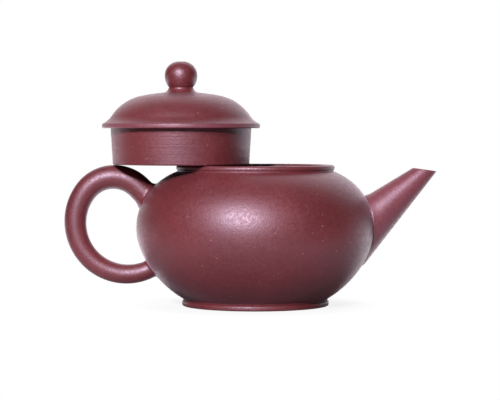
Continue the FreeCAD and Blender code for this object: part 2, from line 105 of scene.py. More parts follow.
# %% [markdown]
# ## The camera
#
# The picture is a product portrait: a long lens from about two thirds of a metre, a finger's width
# above the pot's mouth. A long lens keeps the rim almost a straight line. The camera stands square
# to the line from handle to spout and tips down by two degrees.


# %% Stand the camera in front of the pot
def put_in_scene(name, data):
    """A new object that holds the data, linked into the scene."""
    thing = bpy.data.objects.new(name, data)
    bpy.context.scene.collection.objects.link(thing)
    return thing


CAMERA_PLACE = Vector((0.0, -0.680, 0.0615))
CAMERA_TIP_DOWN = 2.078
CAMERA_TURN_LEFT = 0.159
LENS = 139.9

camera = put_in_scene("portrait_camera", bpy.data.cameras.new("portrait_camera"))
camera.location = CAMERA_PLACE
camera.rotation_euler = (math.radians(90 - CAMERA_TIP_DOWN), 0, math.radians(CAMERA_TURN_LEFT))
camera.data.lens = LENS
camera.data.clip_start = 10 * MM
bpy.context.scene.camera = camera
print(f"camera {1000 * CAMERA_PLACE.length:.0f} mm from the pot, lens {LENS:.0f} mm")

# %% [markdown]
# ## Wiring nodes with few words
#
# Materials, the sky and the shaping trees are all made of nodes. One helper adds a node, sets its
# options and either plugs a wire into an input or writes a plain number there. A second one does
# the same for arithmetic, so that a formula reads almost like a formula.


# %% Helpers for node trees
def add(tree, kind, inputs=None, **options):
    """Add a node; inputs are wires or values by socket name or number."""
    node = tree.nodes.new(kind)
    for option, value in options.items():
        setattr(node, option, value)
    for socket, value in (inputs or {}).items():
        if isinstance(value, bpy.types.NodeSocket):
            tree.links.new(value, node.inputs[socket])
        else:
            node.inputs[socket].default_value = value
    return node


def calc(tree, operation, *values):
    """One step of arithmetic on wires or numbers."""
    node = add(tree, "ShaderNodeMath", dict(enumerate(values)), operation=operation)
    return node.outputs[0]


def ramp(tree, value, low, high, to_low=0.0, to_high=1.0):
    """Stretch a value from one span to another, with soft ends."""
    node = add(tree, "ShaderNodeMapRange",
               {"Value": value, "From Min": low, "From Max": high,
                "To Min": to_low, "To Max": to_high}, interpolation_type="SMOOTHSTEP")
    return node.outputs["Result"]


def blend_colours(tree, factor, first, second, blend_type="MIX"):
    """Mix two colours by a factor."""
    node = tree.nodes.new("ShaderNodeMix")
    node.data_type = "RGBA"
    node.blend_type = blend_type
    for name, value in (("Factor_Float", factor), ("A_Color", first), ("B_Color", second)):
        socket = next(s for s in node.inputs if s.identifier == name)
        if isinstance(value, bpy.types.NodeSocket):
            tree.links.new(value, socket)
        else:
            socket.default_value = value
    return next(s for s in node.outputs if s.identifier == "Result_Color")


print("node helpers are ready")

# %% [markdown]
# ## A white studio
#
# The portrait was lit on a white sweep: white behind and below, and a dark room in front. A
# modelled sweep would get in the way of cameras behind the pot, so the sky does that work. It is
# white wherever the camera looks. For light and reflections it is bright behind the pot and dim in
# front, which puts the pale glow along the edges of the belly.

# %% The sky: white to look at, bright behind the pot and dim in front of it
WHITE = (1, 1, 1, 1)
SKY_BEHIND = 2.0
SKY_IN_FRONT = 0.03
BRIGHT_SIDE = (0.08, 0.935, 0.34)
BRIGHT_FROM = 0.53

world = bpy.data.worlds.new("white_studio")
bpy.context.scene.world = world
world.use_nodes = True
sky = world.node_tree
sky.nodes.clear()
direction = add(sky, "ShaderNodeTexCoord").outputs["Generated"]
toward_back = add(sky, "ShaderNodeVectorMath", {0: direction, 1: BRIGHT_SIDE},
                  operation="DOT_PRODUCT").outputs["Value"]
room_light = ramp(sky, toward_back, BRIGHT_FROM, 1.0, SKY_IN_FRONT, SKY_BEHIND)
is_camera = add(sky, "ShaderNodeLightPath").outputs["Is Camera Ray"]
not_camera = calc(sky, "SUBTRACT", 1.0, is_camera)
sky_strength = calc(sky, "MULTIPLY_ADD", room_light, not_camera, is_camera)
sky_light = add(sky, "ShaderNodeBackground", {"Color": WHITE, "Strength": sky_strength})
add(sky, "ShaderNodeOutputWorld", {"Surface": sky_light.outputs[0]})
print(f"sky {SKY_BEHIND} behind the pot, {SKY_IN_FRONT} in front")

# %% [markdown]
# Two small softboxes stand above the camera and to its left. An area lamp has a place and a size,
# and both show in the picture. The place sets where the highlight sits on the belly. The small size
# keeps the shadows crisp, such as the dark one under the parked lid.


# %% The lamps
def softbox(name, place, aim, width, height, watts):
    """A rectangular lamp that looks at a point."""
    lamp = bpy.data.lights.new(name, "AREA")
    lamp.shape = "RECTANGLE"
    lamp.size = width
    lamp.size_y = height
    lamp.energy = watts
    stand = put_in_scene(name, lamp)
    stand.location = place
    stand.rotation_euler = (Vector(aim) - Vector(place)).to_track_quat("-Z", "Y").to_euler()
    print(f"{name}: {watts} W, {1000 * width:.0f} by {1000 * height:.0f} mm")


POT_MIDDLE = (0.0, 0.0, rim_height / 2)
FRONT_PLACE, FRONT_SIZE, FRONT_WATTS = (-0.19, -0.905, 0.43), (0.07, 0.06), 8.5
LEFT_PLACE, LEFT_SIZE, LEFT_WATTS = (-0.31, -0.79, 0.53), (0.11, 0.11), 4.7
softbox("front_softbox", FRONT_PLACE, POT_MIDDLE, *FRONT_SIZE, FRONT_WATTS)
softbox("left_softbox", LEFT_PLACE, POT_MIDDLE, *LEFT_SIZE, LEFT_WATTS)

# %% [markdown]
# The floor is a plain pale sheet. Close to the pot it takes the soft shadow of the foot. Farther
# out it fades into the same white as the sky, so that no horizon shows behind the pot. The pot
# itself must not mirror all that white, or its lower half would turn grey. So reflected rays see a
# dimmer sheet, apart from a wide strip straight behind the pot, which glows as a lit sweep does.
# The sheet also bounces light up to the lower belly, but only close to the pot. Light from farther
# out would reach under the lid and wash out the shadows there.

# %% The pale floor
FLOOR_SIDE = 8.0
FLOOR_DROP = 0.02 * MM
PAPER = (0.92, 0.91, 0.94, 1)
SHADOW_REACH = (0.030, 0.046)
SHADOW_SHARE = 0.16
SWEEP_SIDES = (0.05, 0.55)
SWEEP_NEAR, NEAR_GLOW = (0.08, 0.35), (2.6, 2.7)
SWEEP_FAR, FAR_SHARE = (0.35, 1.5), (1.0, 0.5)
BOUNCE_NEAR, NEAR_BOUNCE = (0.035, 0.070), (0.35, 1.00)
BOUNCE_FAR, FAR_BOUNCE = (0.09, 0.17), (1.0, 0.08)
MIRROR_LOSS = 0.6


def floor_material():
    """Paper that is white to look at, keeps a soft shadow and bounces light close to the pot."""
    paper = bpy.data.materials.new("white_sweep")
    paper.use_nodes = True
    tree = paper.node_tree
    tree.nodes.clear()
    place = add(tree, "ShaderNodeTexCoord").outputs["Object"]
    from_pot = add(tree, "ShaderNodeVectorMath", {0: place}, operation="LENGTH").outputs["Value"]
    back = add(tree, "ShaderNodeSeparateXYZ", {0: place}).outputs["Y"]
    straight_behind = calc(tree, "DIVIDE", back, from_pot)
    path = add(tree, "ShaderNodeLightPath").outputs
    white = add(tree, "ShaderNodeEmission", {"Color": WHITE, "Strength": 1.0})
    glow = calc(tree, "MULTIPLY", ramp(tree, from_pot, *SWEEP_NEAR, *NEAR_GLOW),
                ramp(tree, from_pot, *SWEEP_FAR, *FAR_SHARE))
    lit_sweep = add(tree, "ShaderNodeEmission", {"Color": WHITE, "Strength": glow})
    pale = add(tree, "ShaderNodeBsdfDiffuse", {"Color": PAPER})
    bounce = calc(tree, "MULTIPLY", ramp(tree, from_pot, *BOUNCE_NEAR, *NEAR_BOUNCE),
                  ramp(tree, from_pot, *BOUNCE_FAR, *FAR_BOUNCE))
    loss = calc(tree, "MULTIPLY_ADD", path["Is Glossy Ray"], -MIRROR_LOSS, 1.0)
    dim = add(tree, "ShaderNodeBsdfDiffuse", {"Color": calc(tree, "MULTIPLY", bounce, loss)})
    to_look_at = add(tree, "ShaderNodeMixShader",
                     {0: ramp(tree, from_pot, *SHADOW_REACH, 1 - SHADOW_SHARE, 1.0),
                      1: pale.outputs[0], 2: white.outputs[0]})
    strip = ramp(tree, straight_behind, *SWEEP_SIDES)
    mirrored = calc(tree, "MULTIPLY", strip, path["Is Glossy Ray"])
    in_reflections = add(tree, "ShaderNodeMixShader",
                         {0: mirrored, 1: dim.outputs[0], 2: lit_sweep.outputs[0]})
    surface = add(tree, "ShaderNodeMixShader",
                  {0: path["Is Camera Ray"], 1: in_reflections.outputs[0],
                   2: to_look_at.outputs[0]})
    add(tree, "ShaderNodeOutputMaterial", {"Surface": surface.outputs[0]})
    return paper


half = FLOOR_SIDE / 2
floor_mesh = bpy.data.meshes.new("floor")
floor_mesh.from_pydata(
    [(x, y, -FLOOR_DROP) for x, y in ((-half, -half), (half, -half), (half, half), (-half, half))],
    [], [(0, 1, 2, 3)])
floor_mesh.materials.append(floor_material())
floor = put_in_scene("floor", floor_mesh)
floor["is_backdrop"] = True
print(f"floor {FLOOR_SIDE:.0f} m wide")

# %% [markdown]
# ## Purple clay
#
# Fired purple clay is dense and unglazed. From a step away it is one warm brown with a red heart.
# Close up it is a mix: a slow change of tone, a fine mottling, sandy grain, pale specks of mica and
# a few dark iron points. The outside is burnished until it has the sheen of an egg shell, with
# streaks that follow the tool around the pot. The inside is left as it was scraped, so it is duller
# and rougher.
#
# The material holds both finishes. The turned pieces carry an attribute called bare, 0 on burnished
# skin and 1 on scraped skin, and the material mixes by it. Every pattern reads Object coordinates:
# the pieces sit at the origin, so the grain runs on without a break from one piece to the next.
#
# Three pieces differ a little from the rest. The spout and the lid's plate get a lighter, pinker
# copy of the clay: painted light, which stands in for light and sheen that the lamps leave out
# there. The knob is smoother, because fingers polish it every day. They get the same material with
# other values.

# %% Colours and grain sizes of the clay
CLAY_DEEP = (0.121, 0.0130, 0.0142, 1)
CLAY_WARM = (0.150, 0.0180, 0.0188, 1)
# Painted light: a lighter, pinker copy of the clay for the spout and the lid's plate, in place of
# light and sheen the lamps leave out there.
LIT_ROSY_DEEP = (0.180, 0.0350, 0.0480, 1)
LIT_ROSY_WARM = (0.205, 0.0430, 0.0560, 1)
CLAY_SCRAPED = (0.160, 0.0290, 0.0280, 1)
MICA = (0.62, 0.44, 0.40, 1)
IRON = (0.030, 0.008, 0.010, 1)
BURNISHED, POLISHED, SCRAPED = 0.50, 0.46, 0.78
TONE_SIZE = 22 * MM
MOTTLE_SIZE = 1.3 * MM
GRAIN_SIZE = 0.62 * MM
GRAIN_DEPTH = 0.050 * MM
MICA_SPACING, MICA_SIZES, MICA_COVER = 1.6 * MM, (0.02, 0.10), 0.75
IRON_SPACING, IRON_SIZES, IRON_COVER = 1.9 * MM, (0.02, 0.09), 0.8
FINE_SHARE = 0.35
SPECK_EDGE = 0.035
STREAK_LENGTH = 26 * MM
STREAK_WIDTH = 0.9 * MM
CLOUD_ROUGHNESS = 0.55
CLOUD_SPAN = (0.3, 0.7)
GRAIN_SPAN = (0.35, 0.65)
SHADE_SPAN, SHADES = (0.6, 1.4), (0.93, 1.07)
STREAK_GLOSS, MOTTLE_GLOSS, GRAIN_GLOSS = 0.012, 0.04, 0.03
SCRAPED_GRAIN = 2.0
STREAK_RIDGE = 0.06
IRON_PIT = 0.8
SHEEN = {"IOR": 1.8, "Specular IOR Level": 0.72, "Specular Tint": (0.90, 0.75, 0.97, 1),
         "Sheen Weight": 0.20, "Sheen Roughness": 0.28, "Sheen Tint": (1.0, 0.72, 0.95, 1)}
print(f"grain {1000 * GRAIN_SIZE:.2f} mm wide, a mica speck every {1000 * MICA_SPACING:.1f} mm")

# %% [markdown]
# Two kinds of pattern make the clay. Noise gives clouds: large ones for the change of tone, small
# ones for the mottling and the grain. The same noise, squeezed flat, gives the streaks of the
# burnishing tool. A pattern of cells gives the specks, one in each cell, and a random number lets
# every speck have its own size. A painted texture could show the same, but it would need unwrapping
# and would blur close up. These patterns stay sharp at any distance.


# %% The patterns in the clay
def noise(tree, vector, size, detail=2.0):
    """A cloudy pattern of the given size, between 0 and 1."""
    node = add(tree, "ShaderNodeTexNoise",
               {"Vector": vector, "Scale": 1 / size, "Detail": detail,
                "Roughness": CLOUD_ROUGHNESS})
    return node.outputs["Fac"]


def specks(tree, vector, spacing, smallest, largest):
    """Scattered round specks, each with its own size; 1 inside a speck."""
    cells = add(tree, "ShaderNodeTexVoronoi", {"Vector": vector, "Scale": 1 / spacing})
    chance = add(tree, "ShaderNodeSeparateXYZ", {0: cells.outputs["Color"]}).outputs["X"]
    size = ramp(tree, chance, FINE_SHARE, 1.0, smallest, largest)
    inside = calc(tree, "SUBTRACT", size, cells.outputs["Distance"])
    return ramp(tree, inside, 0.0, SPECK_EDGE)


def clay_material(name, deep, warm, smooth):
    """Smooth clay that turns to scraped clay where the attribute bare says so."""
    clay = bpy.data.materials.new(name)
    clay.use_nodes = True
    tree = clay.node_tree
    tree.nodes.clear()
    place = add(tree, "ShaderNodeTexCoord").outputs["Object"]
    bare = add(tree, "ShaderNodeAttribute", attribute_name="bare").outputs["Fac"]
    streak_scale = (1 / STREAK_LENGTH, 1 / STREAK_LENGTH, 1 / STREAK_WIDTH)
    around = add(tree, "ShaderNodeMapping", {"Vector": place, "Scale": streak_scale})

    tone = noise(tree, place, TONE_SIZE)
    mottle = noise(tree, place, MOTTLE_SIZE, detail=4.0)
    grain = noise(tree, place, GRAIN_SIZE, detail=1.0)
    streaks = noise(tree, around.outputs[0], 1.0, detail=3.0)
    mica = specks(tree, place, MICA_SPACING, *MICA_SIZES)
    iron = specks(tree, place, IRON_SPACING, *IRON_SIZES)

    colour = blend_colours(tree, ramp(tree, tone, *CLOUD_SPAN), deep, warm)
    colour = blend_colours(tree, bare, colour, CLAY_SCRAPED)
    shade = ramp(tree, calc(tree, "ADD", mottle, grain), *SHADE_SPAN, *SHADES)
    shade_colour = add(tree, "ShaderNodeCombineXYZ", {0: shade, 1: shade, 2: shade}).outputs[0]
    colour = blend_colours(tree, 1.0, colour, shade_colour, "MULTIPLY")
    colour = blend_colours(tree, calc(tree, "MULTIPLY", iron, IRON_COVER), colour, IRON)
    colour = blend_colours(tree, calc(tree, "MULTIPLY", mica, MICA_COVER), colour, MICA)

    burnish = ramp(tree, streaks, *CLOUD_SPAN, smooth - STREAK_GLOSS, smooth + STREAK_GLOSS)
    scraped = calc(tree, "MULTIPLY", bare, SCRAPED - smooth)
    roughness = calc(tree, "ADD", burnish, scraped)
    for pattern, span, gloss in ((mottle, CLOUD_SPAN, MOTTLE_GLOSS),
                                 (grain, GRAIN_SPAN, GRAIN_GLOSS)):
        roughness = calc(tree, "ADD", roughness, ramp(tree, pattern, *span, -gloss, gloss))

    roughened = calc(tree, "MULTIPLY_ADD", bare, SCRAPED_GRAIN, 1.0)
    height = calc(tree, "MULTIPLY", grain, roughened)
    height = calc(tree, "MULTIPLY_ADD", streaks, STREAK_RIDGE, height)
    height = calc(tree, "MULTIPLY_ADD", iron, -IRON_PIT, height)
    skin = add(tree, "ShaderNodeBump", {"Strength": 1.0, "Distance": GRAIN_DEPTH, "Height": height})

    clay_shader = add(tree, "ShaderNodeBsdfPrincipled",
                      {"Base Color": colour, "Roughness": roughness,
                       "Normal": skin.outputs[0], **SHEEN})
    add(tree, "ShaderNodeOutputMaterial", {"Surface": clay_shader.outputs[0]})
    print(f"{clay.name}: {len(tree.nodes)} nodes")
    return clay


clay = clay_material("purple_clay_finish", CLAY_DEEP, CLAY_WARM, BURNISHED)
# painted light: the lighter, pinker clay for the spout and the lid's plate
lit_rosy_clay = clay_material("rosy_clay_finish", LIT_ROSY_DEEP, LIT_ROSY_WARM, BURNISHED)
polished_clay = clay_material("polished_clay_finish", CLAY_DEEP, CLAY_WARM, POLISHED)

# %% [markdown]
# ## Drawing a section
#
# A turned piece is known by its section, the line that a wire would leave if it cut the piece from
# its axis outwards. A section has few corners. Some are rounded off, and long curves are arcs that
# flow on from the line before. The helpers below draw such lines as lists of points, each with a
# radius and a height.


# %% Arcs and rounded corners
def turn(vector, angle):
    """A flat vector turned to the left by an angle in radians."""
    return Vector((vector.x * math.cos(angle) - vector.y * math.sin(angle),
                   vector.x * math.sin(angle) + vector.y * math.cos(angle)))


def arc_about(centre, radius, first, last, steps=160):
    """Points of an arc about a centre, between two angles in degrees."""
    angles = [math.radians(first + (last - first) * step / steps) for step in range(steps + 1)]
    return [Vector(centre) + radius * Vector((math.cos(a), math.sin(a))) for a in angles]


def arc_onward(points, end, steps=120):
    """Carry a line on to an end point along the arc that leaves it without a kink."""
    start = points[-1]
    heading = (points[-1] - points[-2]).normalized()
    chord = Vector(end) - start
    half_turn = math.atan2(heading.x * chord.y - heading.y * chord.x, heading.dot(chord))
    diameter = chord.length / math.sin(half_turn)
    for step in range(1, steps + 1):
        angle = half_turn * step / steps
        points.append(start + turn(heading, angle) * diameter * math.sin(angle))
    return points


def rounded(corners, steps=6):
    """A closed section from corners (radius, height, rounding)."""
    points = []
    for index, (radius, height, rounding) in enumerate(corners):
        corner = Vector((radius, height))
        if not rounding:
            points.append(corner)
            continue
        before = (Vector(corners[index - 1][:2]) - corner).normalized()
        after = (Vector(corners[(index + 1) % len(corners)][:2]) - corner).normalized()
        half_angle = before.angle(after) / 2
        setback = rounding / math.tan(half_angle)
        centre = corner + (before + after).normalized() * rounding / math.sin(half_angle)
        first = corner + before * setback - centre
        last = corner + after * setback - centre
        sweep = math.atan2(first.x * last.y - first.y * last.x, first.dot(last))
        points += [centre + turn(first, sweep * step / steps) for step in range(steps + 1)]
    return points


def lengths_along(points):
    """How far along a line each of its points lies."""
    lengths = [0.0]
    for start, end in zip(points, points[1:]):
        lengths.append(lengths[-1] + (end - start).length)
    return lengths


def evenly(points, count):
    """The same line with that many steps, which are finest at its two ends."""
    lengths = lengths_along(points)
    result = []
    index = 0
    for step in range(count + 1):
        along = lengths[-1] * (1 - math.cos(math.pi * step / count)) / 2
        while index < len(points) - 2 and lengths[index + 1] < along:
            index += 1
        span = lengths[index + 1] - lengths[index]
        result.append(points[index].lerp(points[index + 1], (along - lengths[index]) / span))
    return result


print("drawing helpers are ready")

# %% [markdown]
# ## Trees that shape clay
#
# Geometry nodes are wired like a material, but they shape a mesh. Every tree in this lesson has
# named inputs, such as a number of sides or a seed, so that one tree can serve many pieces. All of
# them end alike: smooth shading with crisp corners, Realize Instances, and the clay. A piece goes
# through its tree once and keeps the result as a plain mesh, so that nothing has to be worked out
# again later.


# %% Helpers that build and run a tree
def new_tree(name, inputs):
    """A geometry tree with named inputs; gives the tree and the wires of its inputs."""
    tree = bpy.data.node_groups.new(name, "GeometryNodeTree")
    tree.interface.new_socket("Geometry", in_out="INPUT", socket_type="NodeSocketGeometry")
    tree.interface.new_socket("Geometry", in_out="OUTPUT", socket_type="NodeSocketGeometry")
    for label, kind in inputs.items():
        tree.interface.new_socket(label, in_out="INPUT", socket_type=f"NodeSocket{kind}")
    return tree, tree.nodes.new("NodeGroupInput").outputs


SHARP_ANGLE = math.radians(38)


def close_tree(tree, geometry, material):
    """Shade the piece smooth except at real corners, then realize it and set its clay."""
    smooth = add(tree, "GeometryNodeSetShadeSmooth", {"Geometry": geometry})
    fold = add(tree, "GeometryNodeInputMeshEdgeAngle").outputs["Unsigned Angle"]
    corner = add(tree, "FunctionNodeCompare", {0: fold, 1: SHARP_ANGLE}, operation="GREATER_THAN")
    crisp = add(tree, "GeometryNodeSetShadeSmooth",
                {"Geometry": smooth.outputs[0], "Selection": corner.outputs[0],
                 "Shade Smooth": False}, domain="EDGE")
    real = add(tree, "GeometryNodeRealizeInstances", {"Geometry": crisp.outputs[0]})
    clad = add(tree, "GeometryNodeSetMaterial",
               {"Geometry": real.outputs[0], "Material": material})
    add(tree, "NodeGroupOutput", {"Geometry": clad.outputs[0]})


def run_tree(piece, tree, **values):
    """Run a tree on an object and keep the result as its plain mesh."""
    modifier = piece.modifiers.new(tree.name, "NODES")
    modifier.node_group = tree
    for socket in tree.interface.items_tree:
        label = socket.name.lower().replace(" ", "_")
        if socket.in_out == "INPUT" and label in values:
            modifier[socket.identifier] = values[label]
    graph = bpy.context.evaluated_depsgraph_get()
    mesh = bpy.data.meshes.new_from_object(piece.evaluated_get(graph), depsgraph=graph)
    piece.modifiers.remove(modifier)
    old = piece.data
    piece.data = mesh
    bpy.data.meshes.remove(old)
    mesh.name = piece.name
    return piece


print("tree helpers are ready")

# %% [markdown]
# ## A wheel made of nodes
#
# A Screw modifier could turn a section into a solid. A tree of geometry nodes can do more in the
# same step, so the lesson builds its own wheel. It lays out a grid with one column for each side of
# the piece and one row for each point of the section, then moves every grid point to the place its
# section point has after the turn. A little noise makes the wall uneven, as a hand-paddled wall
# is, and a finer noise that depends on height leaves the lines of the trimming tool.

# %% The wheel
UNEVEN_SIZE = 24 * MM
MARK_LENGTH = 40 * MM
MARK_WIDTH = 0.55 * MM
NEAR_AXIS = 0.5 * MM
WELD = 0.0005 * MM


def seeded_noise(tree, vector, seed, scale, detail=0.0):
    """A cloudy pattern about 0 that is another one for every seed."""
    cloud = add(tree, "ShaderNodeTexNoise",
                {"Vector": vector, "W": seed, "Scale": scale, "Detail": detail},
                noise_dimensions="4D")
    return calc(tree, "SUBTRACT", cloud.outputs["Fac"], 0.5)


def build_wheel():
    """A tree that turns a section around an upright axis."""
    tree, given = new_tree("clay_wheel", {
        "Sides": "Int", "Axis": "Vector", "Unevenness": "Float", "Tool Marks": "Float",
        "Seed": "Int", "Clay": "Material"})
    count = add(tree, "GeometryNodeAttributeDomainSize", {0: given["Geometry"]}).outputs[0]
    rows = calc(tree, "ADD", count, 1)
    columns = calc(tree, "ADD", given["Sides"], 1)
    grid = add(tree, "GeometryNodeMeshGrid", {"Vertices X": columns, "Vertices Y": rows})
    index = add(tree, "GeometryNodeInputIndex").outputs[0]
    row = calc(tree, "FLOORED_MODULO", calc(tree, "FLOORED_MODULO", index, rows), count)
    column = calc(tree, "FLOOR", calc(tree, "DIVIDE", index, rows))
    angle = calc(tree, "MULTIPLY", calc(tree, "DIVIDE", column, given["Sides"]), 2 * math.pi)
    cosine = calc(tree, "COSINE", angle)
    sine = calc(tree, "SINE", angle)

    position = add(tree, "GeometryNodeInputPosition").outputs[0]
    section_point = add(tree, "GeometryNodeSampleIndex",
                        {"Geometry": given["Geometry"], "Value": position, "Index": row},
                        data_type="FLOAT_VECTOR", domain="POINT")
    flat = add(tree, "ShaderNodeSeparateXYZ", {0: section_point.outputs[0]}).outputs
    round_point = add(tree, "ShaderNodeCombineXYZ",
                      {"X": calc(tree, "MULTIPLY", flat["X"], cosine),
                       "Y": calc(tree, "MULTIPLY", flat["X"], sine),
                       "Z": flat["Z"]}).outputs[0]

    wall = seeded_noise(tree, round_point, given["Seed"], 1 / UNEVEN_SIZE)
    swell = calc(tree, "MULTIPLY", wall, given["Unevenness"])
    stretched = add(tree, "ShaderNodeVectorMath",
                    {0: round_point, 1: (1 / MARK_LENGTH, 1 / MARK_LENGTH, 1 / MARK_WIDTH)},
                    operation="MULTIPLY").outputs[0]
    lines = seeded_noise(tree, stretched, given["Seed"], 1.0, detail=2.0)
    scratch = calc(tree, "MULTIPLY", lines, given["Tool Marks"])
    change = calc(tree, "ADD", swell, scratch)
    radial = add(tree, "ShaderNodeCombineXYZ",
                 {"X": calc(tree, "MULTIPLY", change, cosine),
                  "Y": calc(tree, "MULTIPLY", change, sine)}).outputs[0]
    on_axis = add(tree, "FunctionNodeCompare", {0: flat["X"], 1: NEAR_AXIS}, operation="LESS_THAN")
    kept = calc(tree, "SUBTRACT", 1.0, on_axis.outputs[0])
    offset = add(tree, "ShaderNodeVectorMath", {0: radial, "Scale": kept}, operation="SCALE")
    moved = add(tree, "ShaderNodeVectorMath", {0: round_point, 1: given["Axis"]}, operation="ADD")

    scraped = add(tree, "GeometryNodeInputNamedAttribute", {"Name": "bare"}, data_type="FLOAT")
    scraped_row = add(tree, "GeometryNodeSampleIndex",
                      {"Geometry": given["Geometry"], "Value": scraped.outputs[0], "Index": row})
    turned = add(tree, "GeometryNodeSetPosition",
                 {"Geometry": grid.outputs[0], "Position": moved.outputs[0],
                  "Offset": offset.outputs[0]})
    stored = add(tree, "GeometryNodeStoreNamedAttribute",
                 {"Geometry": turned.outputs[0], "Name": "bare", "Value": scraped_row.outputs[0]},
                 data_type="FLOAT", domain="POINT")
    closed = add(tree, "GeometryNodeMergeByDistance",
                 {"Geometry": stored.outputs[0], "Distance": WELD})
    sides_of_edge = add(tree, "GeometryNodeInputMeshEdgeNeighbors").outputs["Face Count"]
    stray = add(tree, "FunctionNodeCompare", {0: sides_of_edge, 1: 0.5}, operation="LESS_THAN")
    clean = add(tree, "GeometryNodeDeleteGeometry",
                {"Geometry": closed.outputs[0], "Selection": stray.outputs[0]}, domain="EDGE",
                mode="EDGE_FACE")
    close_tree(tree, clean.outputs[0], given["Clay"])
    return tree


wheel = build_wheel()
print(f"{wheel.name}: {len(wheel.nodes)} nodes")

# %% [markdown]
# Every piece goes through the same few steps at its end: it is hung on the body that it moves with,
# and it stands in for its solid. The function measures the new skin as well. A positive volume close
# to the solid's shows that the faces point outwards and that nothing has been lost.


# %% Finish a piece
def volume(mesh):
    """Volume of a closed mesh in cubic millimetres, its triangles and its open edges."""
    shape = bmesh.new()
    shape.from_mesh(mesh)
    bmesh.ops.remove_doubles(shape, verts=shape.verts, dist=WELD)
    amount = shape.calc_volume(signed=True) / MM ** 3
    triangles = sum(len(face.verts) - 2 for face in shape.faces)
    open_edges = sum(1 for edge in shape.edges if not edge.is_manifold)
    shape.free()
    return amount, triangles, open_edges


def hand_over(piece, body, node):
    """Hang a finished piece on its body in place of its solid."""
    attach(piece, body)
    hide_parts(node)
    amount, triangles, open_edges = volume(piece.data)
    solid = volume(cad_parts[node].data)[0]
    print(f"{piece.name}: {amount:.0f} mm3 for {solid:.0f} in the solid,"
          f" {triangles} triangles, {open_edges} open edges")


def turned_piece(name, outside, inside, axis_x=0.0, sides=200, uneven=0.0, marks=0.0, seed=3,
                 finish=clay):
    """Turn a closed section; its outside is burnished and its inside is scraped."""
    section = outside + inside
    mesh = bpy.data.meshes.new(name)
    mesh.from_pydata([(p.x, 0, p.y) for p in section], [], [])
    bare = mesh.attributes.new("bare", "FLOAT", "POINT")
    bare.data.foreach_set("value", [0.0] * len(outside) + [1.0] * len(inside))
    return run_tree(put_in_scene(name, mesh), wheel, sides=sides, axis=(axis_x, 0, 0),
                    unevenness=uneven, tool_marks=marks, seed=seed, clay=finish)


print("pieces can be finished")

# %% [markdown]
# ## The belly, the shoulder and the base
#
# The belly starts as a strip of beaten clay, closed to a drum and paddled round while it turns. Two
# discs close it, one at the bottom and one at the shoulder. After the burnishing no joint can be
# seen, so the three skins are cut from one flowing line: a round flank, a flatter shoulder that
# flows out of it, and an underside that flows into the foot. The inner line runs one wall's
# thickness inside.

# %% The two long curves of the pot
BELLY_LINE = 27.1 * MM
BELLY_CURVE = 20.4 * MM
SHOULDER_TURN = 46.0
LOWER_TURN = 23.0
WALL = 2.6 * MM
THROAT = 1.9 * MM
RIM_GROOVE = 0.35 * MM
FOOT_GROOVE = 0.25 * MM
CLOSE = 0.01 * MM

neck_radius = rim_radius - RIM_GROOVE
base_radius = foot_radius - FOOT_GROOVE


def bowl_line(curve, low_end, high_end):
    """The line of the bowl from its low end, around the flank, to its high end."""
    centre = (belly_radius - BELLY_CURVE, BELLY_LINE)
    down = arc_onward(arc_about(centre, curve, 0, -LOWER_TURN), low_end)
    up = arc_onward(arc_about(centre, curve, 0, SHOULDER_TURN), high_end)
    return down[:0:-1] + up


outer_line = bowl_line(BELLY_CURVE, (base_radius, foot_top), (neck_radius, neck_height))
inner_line = bowl_line(BELLY_CURVE - WALL, (base_radius, floor_height),
                       (mouth_bore, neck_height - THROAT))


def radius_at(line, height):
    """Radius of a line at a height."""
    for start, end in zip(line, line[1:]):
        if start.y <= height <= end.y:
            return start.lerp(end, (height - start.y) / (end.y - start.y)).x
    return (line[0] if height < line[0].y else line[-1]).x


def band(line, low, high, steps):
    """The stretch of a line between two heights."""
    middle = [p for p in line if low + CLOSE < p.y < high - CLOSE]
    ends = [Vector((radius_at(line, y), y)) for y in (max(low, line[0].y), min(high, line[-1].y))]
    return evenly([ends[0]] + middle + [ends[1]], steps)


print(f"outer line {len(outer_line)} points, wall {1000 * WALL:.1f} mm")

# %% [markdown]
# The three pieces share the wheel, the unevenness and its seed, so a swelling of the wall runs on
# across the joints. Each section is a closed line: first the burnished outside, then the scraped
# inside on the way back. The belly is handed over later, when the hole for the spout has been cut.

# %% Turn the three pieces
UNEVEN_WALL = 0.16 * MM
POT_SIDES = 240
belly = turned_piece("belly", band(outer_line, floor_height, shoulder_seam, steps=96),
                     band(inner_line, floor_height, shoulder_seam, steps=64)[::-1],
                     sides=POT_SIDES, uneven=UNEVEN_WALL)

throat_height = neck_height - THROAT
shoulder = turned_piece(
    "shoulder", band(outer_line, shoulder_seam, neck_height, steps=40),
    evenly([Vector((mouth_bore, neck_height)), Vector((mouth_bore, throat_height))], count=6)
    + band(inner_line, shoulder_seam, throat_height, steps=24)[::-1],
    sides=POT_SIDES, uneven=UNEVEN_WALL)
hand_over(shoulder, "pot", "shoulder_disc")

base_inside = radius_at(inner_line, floor_height)
base = turned_piece(
    "base", band(outer_line, foot_top, floor_height, steps=20),
    evenly([Vector((base_inside, floor_height)), Vector((0, floor_height))], count=40)
    + evenly([Vector((0, foot_top)), Vector((base_radius, foot_top))], count=40),
    sides=POT_SIDES, uneven=UNEVEN_WALL)
hand_over(base, "pot", "base_disc")

# %% [markdown]
# ## The rings at the foot and at the mouth
#
# Two plain rings of clay finish the bowl. The lower one is the foot. The upper one thickens the
# mouth, so that the lid has a firm seat, and a pointed tool has run a fine groove under it. Both
# are small sections with rounded corners, and the wheel turns them like the rest.

